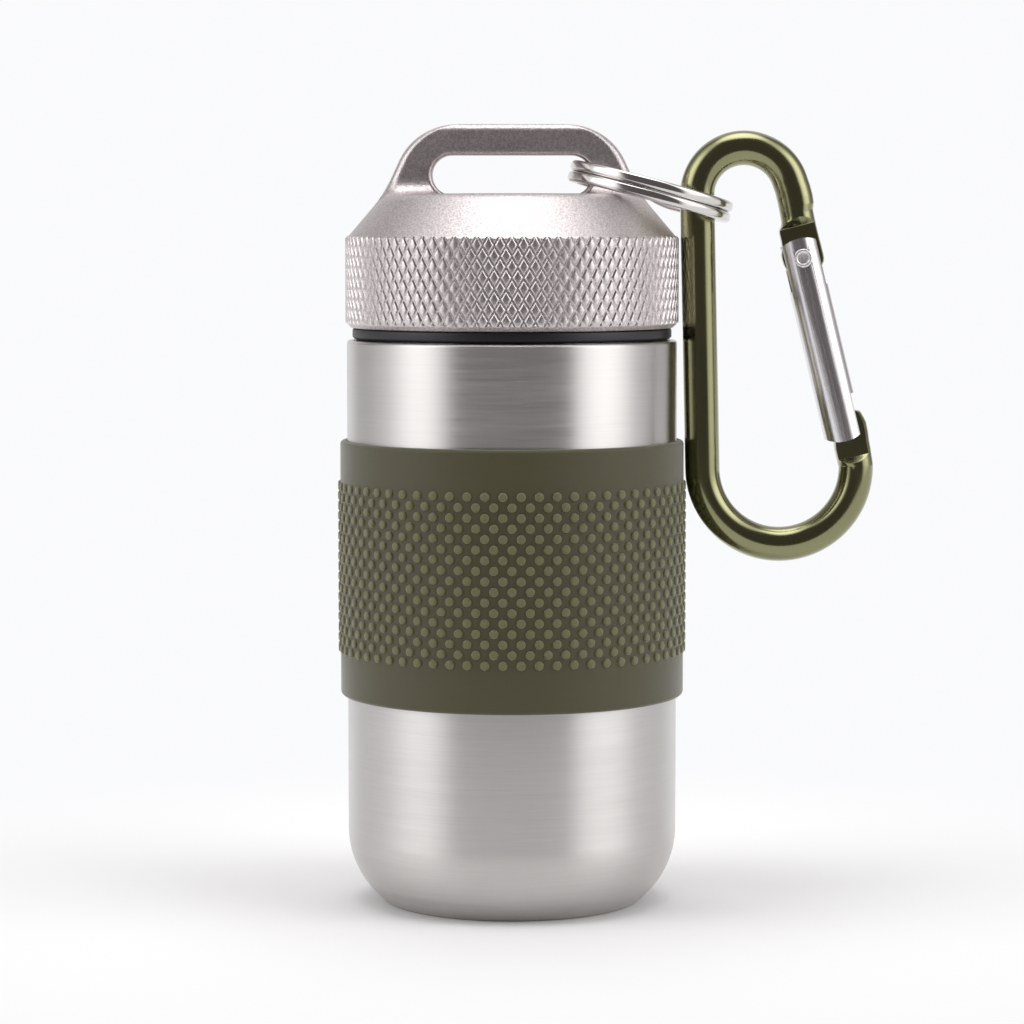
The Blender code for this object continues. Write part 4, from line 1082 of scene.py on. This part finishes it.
def split_ring():
    """The split ring, which hangs in the eye and round the carabiner's spine."""
    reach = (CARABINER_PIVOT.x - RING_PIVOT.x) / 2
    radius = reach / cos(RING_TILT)
    wire = grown(empty_seed("steel_split_ring"), SPLIT_RING, {
        "Radius": radius, "Pitch": RING_PITCH, "Step Angle": RING_STEP_ANGLE,
        "Width": RING_WIRE_WIDTH, "Height": RING_WIRE_HEIGHT, "Round": RING_WIRE_ROUND,
        "Points": RING_POINTS, "Material": LOOKS["ring"],
    })
    low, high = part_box("split_ring")
    centre = Vector((RING_PIVOT.x + reach, 0, (low.z + high.z) / 2))
    roll = Matrix.Rotation(-RING_ROLL, 4, "X")
    turn = Matrix.Rotation(pi / 2, 4, "Z")
    wire.data.transform(Matrix.Translation(centre) @ Matrix.Rotation(RING_TILT, 4, "Y") @ roll @ turn)
    dress(wire, "ring", "polished_steel", LOOKS["ring"], "split_ring")


def gate_place(ease=0.0, shift=0.0):
    """The gate's own frame, turned and moved outwards: origin at the rivet, +Z up the gate, +X outwards."""
    up = Matrix.Rotation(ease, 3, "Y") @ -GATE_DOWN.normalized()
    out = Vector((0, 1, 0)).cross(up)
    turn = Matrix((out, Vector((0, 1, 0)), up)).transposed().to_4x4()
    return Matrix.Translation(RIVET + out * shift) @ turn


def upright(matrix):
    """Turn a plate's own plane upright in a place, its thickness along Y."""
    return matrix @ Matrix.Rotation(pi / 2, 4, "X")


def edges_at(stops, height):
    """The inner and outer edge of a flattened end at a height, between the stops (height, inner, outer)."""
    for (z0, *low), (z1, *high) in zip(stops, stops[1:]):
        if height <= z1:
            break
    share = (height - z0) / (z1 - z0)
    return [a + (b - a) * share for a, b in zip(low, high)]


def frame_stations():
    """Stations of the bent rod in the gate's frame, from the tongue over both bends to the nose.

    Each is (x, z, inner edge, outer edge, power), with the edges measured from the rod's middle. A power
    under 1 makes the section's inner half squarer.
    """
    radius = ROD_DIAMETER / 2
    distance = CARABINER_LENGTH - ROD_DIAMETER - TOP_BEND_RADIUS - BOTTOM_BEND_RADIUS
    taper = asin((BOTTOM_BEND_RADIUS - TOP_BEND_RADIUS) / distance)
    bend_low = RIVET_DROP - distance * cos(taper)
    nose_foot = GATE_HEAD - GATE_LENGTH - NOSE_STEP_GAP
    tongue = sorted((z * MM, inner * MM, outer * MM) for z, inner, outer in TONGUE_EDGES)
    nose = sorted((nose_foot + z * MM, inner * MM, outer * MM) for z, inner, outer in NOSE_EDGES)
    tongue_count = round((tongue[-1][0] - tongue[0][0]) / STATION_PITCH)
    nose_count = round((nose[-1][0] - bend_low) / STATION_PITCH)
    path = [(GATE_INSET, tongue[0][0] + i * STATION_PITCH) for i in range(tongue_count)]
    split = pi - 2 * taper
    path += arc_points(GATE_INSET - TOP_BEND_RADIUS, RIVET_DROP, TOP_BEND_RADIUS, 0, split, TOP_BEND_STEPS)
    bottom = (GATE_INSET - BOTTOM_BEND_RADIUS, bend_low, BOTTOM_BEND_RADIUS)
    fine = 2 * pi - (bend_low - nose[0][0] + STATION_PITCH) / BOTTOM_BEND_RADIUS
    fine_count = round((2 * pi - fine) * BOTTOM_BEND_RADIUS / STATION_PITCH)
    path += arc_points(*bottom, split, fine, BOTTOM_BEND_STEPS)
    path += arc_points(*bottom, fine, 2 * pi, fine_count)[1:]
    nose_rise = nose[-1][0] - bend_low
    path += [(GATE_INSET, bend_low + nose_rise * i / nose_count) for i in range(1, nose_count + 1)]
    stations = []
    for index, (x, z) in enumerate(path):
        inner, outer, past_foot = -radius, radius, SQUARE_FADE
        angle = split / TOP_BEND_STEPS * (index - tongue_count)
        if index < tongue_count:
            inner, outer = [edge - GATE_INSET for edge in edges_at(tongue, z)]
            past_foot = z - HINGE_STEP
        elif angle < HINGE_BULGE_END:
            share = 1 - angle / HINGE_BULGE_END
            inner += (tongue[-1][1] - GATE_INSET + radius) * share
            outer += (tongue[-1][2] - GATE_INSET - radius) * share
        elif index > tongue_count + TOP_BEND_STEPS + BOTTOM_BEND_STEPS and nose[0][0] <= z <= nose[-1][0]:
            inner, outer = [edge - GATE_INSET for edge in edges_at(nose, z)]
            past_foot = nose_foot - z
        round_share = min(max(past_foot / SQUARE_FADE, 0), 1)
        stations.append((x, z, inner, outer, SQUARE_POWER + (1 - SQUARE_POWER) * round_share))
    return stations


def step_cutters(place, foot, half_web, way):
    """Two blocks that mill an end flat past its foot line, up to a sloped step."""
    rise = (ROD_DIAMETER - half_web) / tan(STEP_SLOPE)
    far = foot - way * MILLED_REACH
    # The outline's plane is the rod's cross plane, and its thickness runs along X
    along_x = Matrix(((0, 0, 1, 0), (1, 0, 0, 0), (0, 1, 0, 0), (0, 0, 0, 1)))
    cutters = []
    for face in (-1, 1):
        outline = rounded([
            (face * half_web, far, 0),
            (face * half_web, foot, STEP_FILLET),
            (face * ROD_DIAMETER, foot + way * rise, 0),
            (face * ROD_DIAMETER, far, 0),
        ], closed=True)
        cutters.append(plate("step", outline, -ROD_DIAMETER, ROD_DIAMETER, place @ along_x))
    return cutters


def carabiner(place):
    """The bent rod, milled flat to a tongue at the hinge and to a nose at the other end."""
    stations = frame_stations()
    radius = ROD_DIAMETER / 2
    sections = []
    for index, (x, z, inner, outer, power) in enumerate(stations):
        before = Vector(stations[max(index - 1, 0)][:2])
        after = Vector(stations[min(index + 1, len(stations) - 1)][:2])
        along = (after - before).normalized()
        side = Vector((along.y, 0, -along.x))
        middle = Vector((x, 0, z)) + side * (inner + outer) / 2
        section = []
        for step in range(ROD_SIDES):
            angle = 2 * pi * step / ROD_SIDES
            reach = cos(angle) if cos(angle) > 0 else -abs(cos(angle)) ** power
            across = side * reach * (outer - inner) / 2
            section.append(middle + across + Vector((0, radius * sin(angle), 0)))
        sections.append(section)
    body = lofted("olive_carabiner", sections)
    body.data.transform(place)
    hole = turned("hole", [
        (0, ROD_DIAMETER),
        (RIVET_SHANK_DIAMETER / 2 + SEAT_GAP, ROD_DIAMETER),
        (RIVET_SHANK_DIAMETER / 2 + SEAT_GAP, -ROD_DIAMETER),
        (0, -ROD_DIAMETER),
    ], SMALL_STEPS)
    hole.data.transform(upright(gate_place(GATE_LEAN_EASE, GATE_SHIFT)))
    cutters = step_cutters(place, HINGE_STEP, TONGUE_THICKNESS / 2, 1)
    cutters += step_cutters(place, GATE_HEAD - GATE_LENGTH - NOSE_STEP_GAP, NOSE_THICKNESS / 2, -1)
    combined(body, cutters + [hole], "DIFFERENCE")
    dress(cleaned(body), "carabiner", "olive_metal", LOOKS["carabiner"], "carabiner_frame",
          smooth_angle=FINE_SMOOTH_ANGLE)


def box(low, high, place):
    """A block between two corners in a place."""
    outline = [(low[0], low[1]), (high[0], low[1]), (high[0], high[1]), (low[0], high[1])]
    return plate("block", outline, low[2], high[2], place)


def gate_outline(top, bottom, radius):
    """The gate's front outline, (x, z): arched ends, and round corners at the hinge."""
    wide = radius + OVERRUN
    eye = GATE_EYE_WIDTH / 2
    eye_span = asin(eye / GATE_ARCH_RADIUS)
    foot_span = asin(wide / GATE_ARCH_RADIUS)
    shoulder = top - GATE_EYE_LENGTH
    arch = GATE_ARCH_RADIUS
    head = arc_points(0, top - arch, arch, pi / 2 - eye_span, pi / 2 + eye_span)
    foot = arc_points(0, bottom + arch, arch, -pi / 2 - foot_span, -pi / 2 + foot_span)
    corners = [(wide, shoulder, 0), (eye, shoulder, 0), (*head[0], GATE_END_ROUND)]
    corners += [(x, z, 0) for x, z in head[2:-2]]
    corners += [(*head[-1], GATE_END_ROUND), (-eye, shoulder, 0), (-wide, shoulder, 0)]
    corners += [(x, z, 0) for x, z in foot]
    return rounded(corners, closed=True)


def gate(place):
    """The gate's slotted tube and the rivet that it turns on."""
    radius = GATE_DIAMETER / 2
    top = GATE_HEAD
    bottom = GATE_HEAD - GATE_LENGTH
    body = turned("aluminium_gate", [
        (0, top + OVERRUN), (radius, top + OVERRUN), (radius, bottom - OVERRUN), (0, bottom - OVERRUN),
    ], TUBE_STEPS)
    body.data.transform(place)
    outline = gate_outline(top, bottom, radius)
    arched = plate("arched", outline, -GATE_DIAMETER, GATE_DIAMETER, upright(place))
    combined(body, [arched], "INTERSECT")
    fork_slot = TONGUE_THICKNESS / 2 + SLOT_CLEARANCE
    nose_slot = NOSE_THICKNESS / 2 + SLOT_CLEARANCE
    side = radius + OVERRUN
    fork_bottom = top - FORK_DEPTH
    nose_low = (GATE_INSET - ROD_DIAMETER / 2, -nose_slot, bottom - OVERRUN)
    bore_radius = SPRING_BORE_DIAMETER / 2
    bore = turned("bore", [
        (0, fork_bottom + OVERRUN),
        (bore_radius, fork_bottom + OVERRUN),
        (bore_radius, fork_bottom - SPRING_BORE_DEPTH),
        (0, fork_bottom - SPRING_BORE_DEPTH),
    ], SMALL_STEPS)
    bore.data.transform(place)
    cutters = [
        box((-side, -fork_slot, fork_bottom), (side, fork_slot, top + OVERRUN), place),
        box(nose_low, (side, nose_slot, bottom + NOSE_SLOT_LENGTH), place),
        bore,
    ]
    seat = radius - RIVET_SEAT_DEPTH
    hole_radius = RIVET_SHANK_DIAMETER / 2 + SEAT_GAP
    seat_radius = RIVET_HEAD_DIAMETER / 2 + SEAT_GAP
    hole = turned("rivet_hole", [
        (0, side),
        (seat_radius, side),
        (seat_radius, seat),
        (hole_radius, seat),
        (hole_radius, -seat),
        (seat_radius, -seat),
        (seat_radius, -side),
        (0, -side),
    ], SMALL_STEPS)
    hole.data.transform(upright(place))
    combined(body, cutters + [hole], "DIFFERENCE")
    dress(cleaned(body), "gate", "aluminium", LOOKS["gate"], "carabiner_gate")

    low = seat + SEAT_GAP
    high = low + RIVET_HEAD_HEIGHT
    dimple = RIVET_DIMPLE_DIAMETER / 2
    half = rounded([
        (0, high - RIVET_DIMPLE_DEPTH, 0),
        (dimple, high - RIVET_DIMPLE_DEPTH, RIVET_EDGE / 4),
        (dimple, high, RIVET_EDGE),
        (RIVET_HEAD_DIAMETER / 2, high, RIVET_EDGE),
        (RIVET_HEAD_DIAMETER / 2, low, 0),
        (RIVET_SHANK_DIAMETER / 2, low, 0),
    ], steps=EDGE_STEPS)
    rivet = turned("hinge_rivet", half + [(r, -z) for r, z in reversed(half)], SMALL_STEPS)
    rivet.data.transform(upright(place))
    dress(rivet, "carabiner", "aluminium", LOOKS["rivet"], "gate_rivet")
    for name in ("gate_spring", "gate_plunger"):
        node = frame["nodes"][name]
        node.data.materials.clear()
        node.data.materials.append(LOOKS["spring"])


def camera():
    """The photograph's view."""
    data = bpy.data.cameras.new("camera")
    data.sensor_width = SENSOR_WIDTH
    data.lens = CAMERA_FOCAL_PIXELS / PICTURE_PIXELS * SENSOR_WIDTH
    data.clip_start = CAMERA_NEAR
    data.clip_end = CAMERA_FAR
    obj = bpy.data.objects.new("camera", data)
    bpy.context.scene.collection.objects.link(obj)
    obj.location = (0, -CAMERA_DISTANCE, CAMERA_HEIGHT)
    obj.rotation_euler = (pi / 2 - CAMERA_PITCH, 0, 0)
    bpy.context.scene.camera = obj


def seen_directly(graph):
    """1 for rays from the camera, a mirror or glass, and 0 for the rest."""
    node = graph.add("ShaderNodeLightPath").socket.node
    names = ("Is Camera Ray", "Is Glossy Ray", "Is Transmission Ray")
    seen, mirrored, through = [Value(graph, node.outputs[name]) for name in names]
    return (seen + mirrored + through).clamped()


def floor():
    """A pale floor that fades into the background."""
    left, right = -FLOOR_REACH, FLOOR_REACH
    mesh = bpy.data.meshes.new("floor")
    front, back = -FLOOR_FRONT, FLOOR_REACH
    corners = [(left, front, 0), (right, front, 0), (right, back, 0), (left, back, 0)]
    mesh.from_pydata(corners, [], [(0, 1, 2, 3)])
    obj = bpy.data.objects.new("floor", mesh)
    bpy.context.scene.collection.objects.link(obj)
    material = bpy.data.materials.new("pale_floor")
    material.use_nodes = True
    tree = material.node_tree
    graph = Graph(tree)
    tree.nodes.remove(tree.nodes["Principled BSDF"])
    x, y, z = graph.parts(graph.place())
    distance = (x * x + y * y) ** 0.5
    fade = ((distance - FLOOR_FADE_START) / (FLOOR_FADE_END - FLOOR_FADE_START)).smooth()
    paint = graph.add("ShaderNodeBsdfDiffuse", None, {"Color": FLOOR_WHITE})
    air = graph.add("ShaderNodeEmission", None, {"Color": BACKGROUND_WHITE, "Strength": 1.0})
    factor = fade * seen_directly(graph)
    both = graph.add("ShaderNodeMixShader", None, {0: factor, 1: paint, 2: air})
    graph.feed(tree.nodes["Material Output"].inputs["Surface"], both)
    mesh.materials.append(material)


def studio():
    """Plain soft light from all round, with the boxes and gaps that the metal mirrors."""
    world = bpy.data.worlds.new("studio")
    world.use_nodes = True
    bpy.context.scene.world = world
    tree = world.node_tree
    graph = Graph(tree)
    direction = graph.add("ShaderNodeTexCoord", output="Generated")
    x, y, z = graph.parts(direction)
    turn = graph.math("ARCTAN2", x, y * -1.0) / (2 * pi) + 0.5
    walls, boxes, back = [
        graph.add("ShaderNodeValToRGB", {"stops": stops}, {"Fac": turn})
        for stops in (STUDIO_WALLS, STUDIO_BOXES, STUDIO_BACK)
    ]
    height = (z - BOX_MIDDLE) / BOX_HALF_HEIGHT
    raised = (1 - height * height).smooth() * BOX_LIGHT
    above = ((z - BACK_START) / (BACK_FULL - BACK_START)).smooth()
    overhead = ((z - CEILING_START) / (CEILING_FULL - CEILING_START)).smooth()
    level = walls * (1 - above * back) + boxes * raised
    level = level * (1 - overhead) + overhead * CEILING_LIGHT
    light = graph.vector(level + WARM_RED, level, level)
    node = graph.add("ShaderNodeLightPath").socket.node
    camera_ray = Value(graph, node.outputs["Is Camera Ray"])
    shown = graph.mix(camera_ray, light, BACKGROUND_WHITE)
    background = tree.nodes["Background"]
    graph.feed(background.inputs["Color"], shown)


ROUND_ROWS = round_rows_tree()
THREAD = thread_tree()
SPLIT_RING = split_ring_tree()

camera()
body_cup()
neck()
sleeve()
cap()
split_ring()
carabiner(gate_place())
gate(gate_place(GATE_LEAN_EASE, GATE_SHIFT))
floor()
studio()
bpy.context.scene.view_settings.view_transform = "Standard"
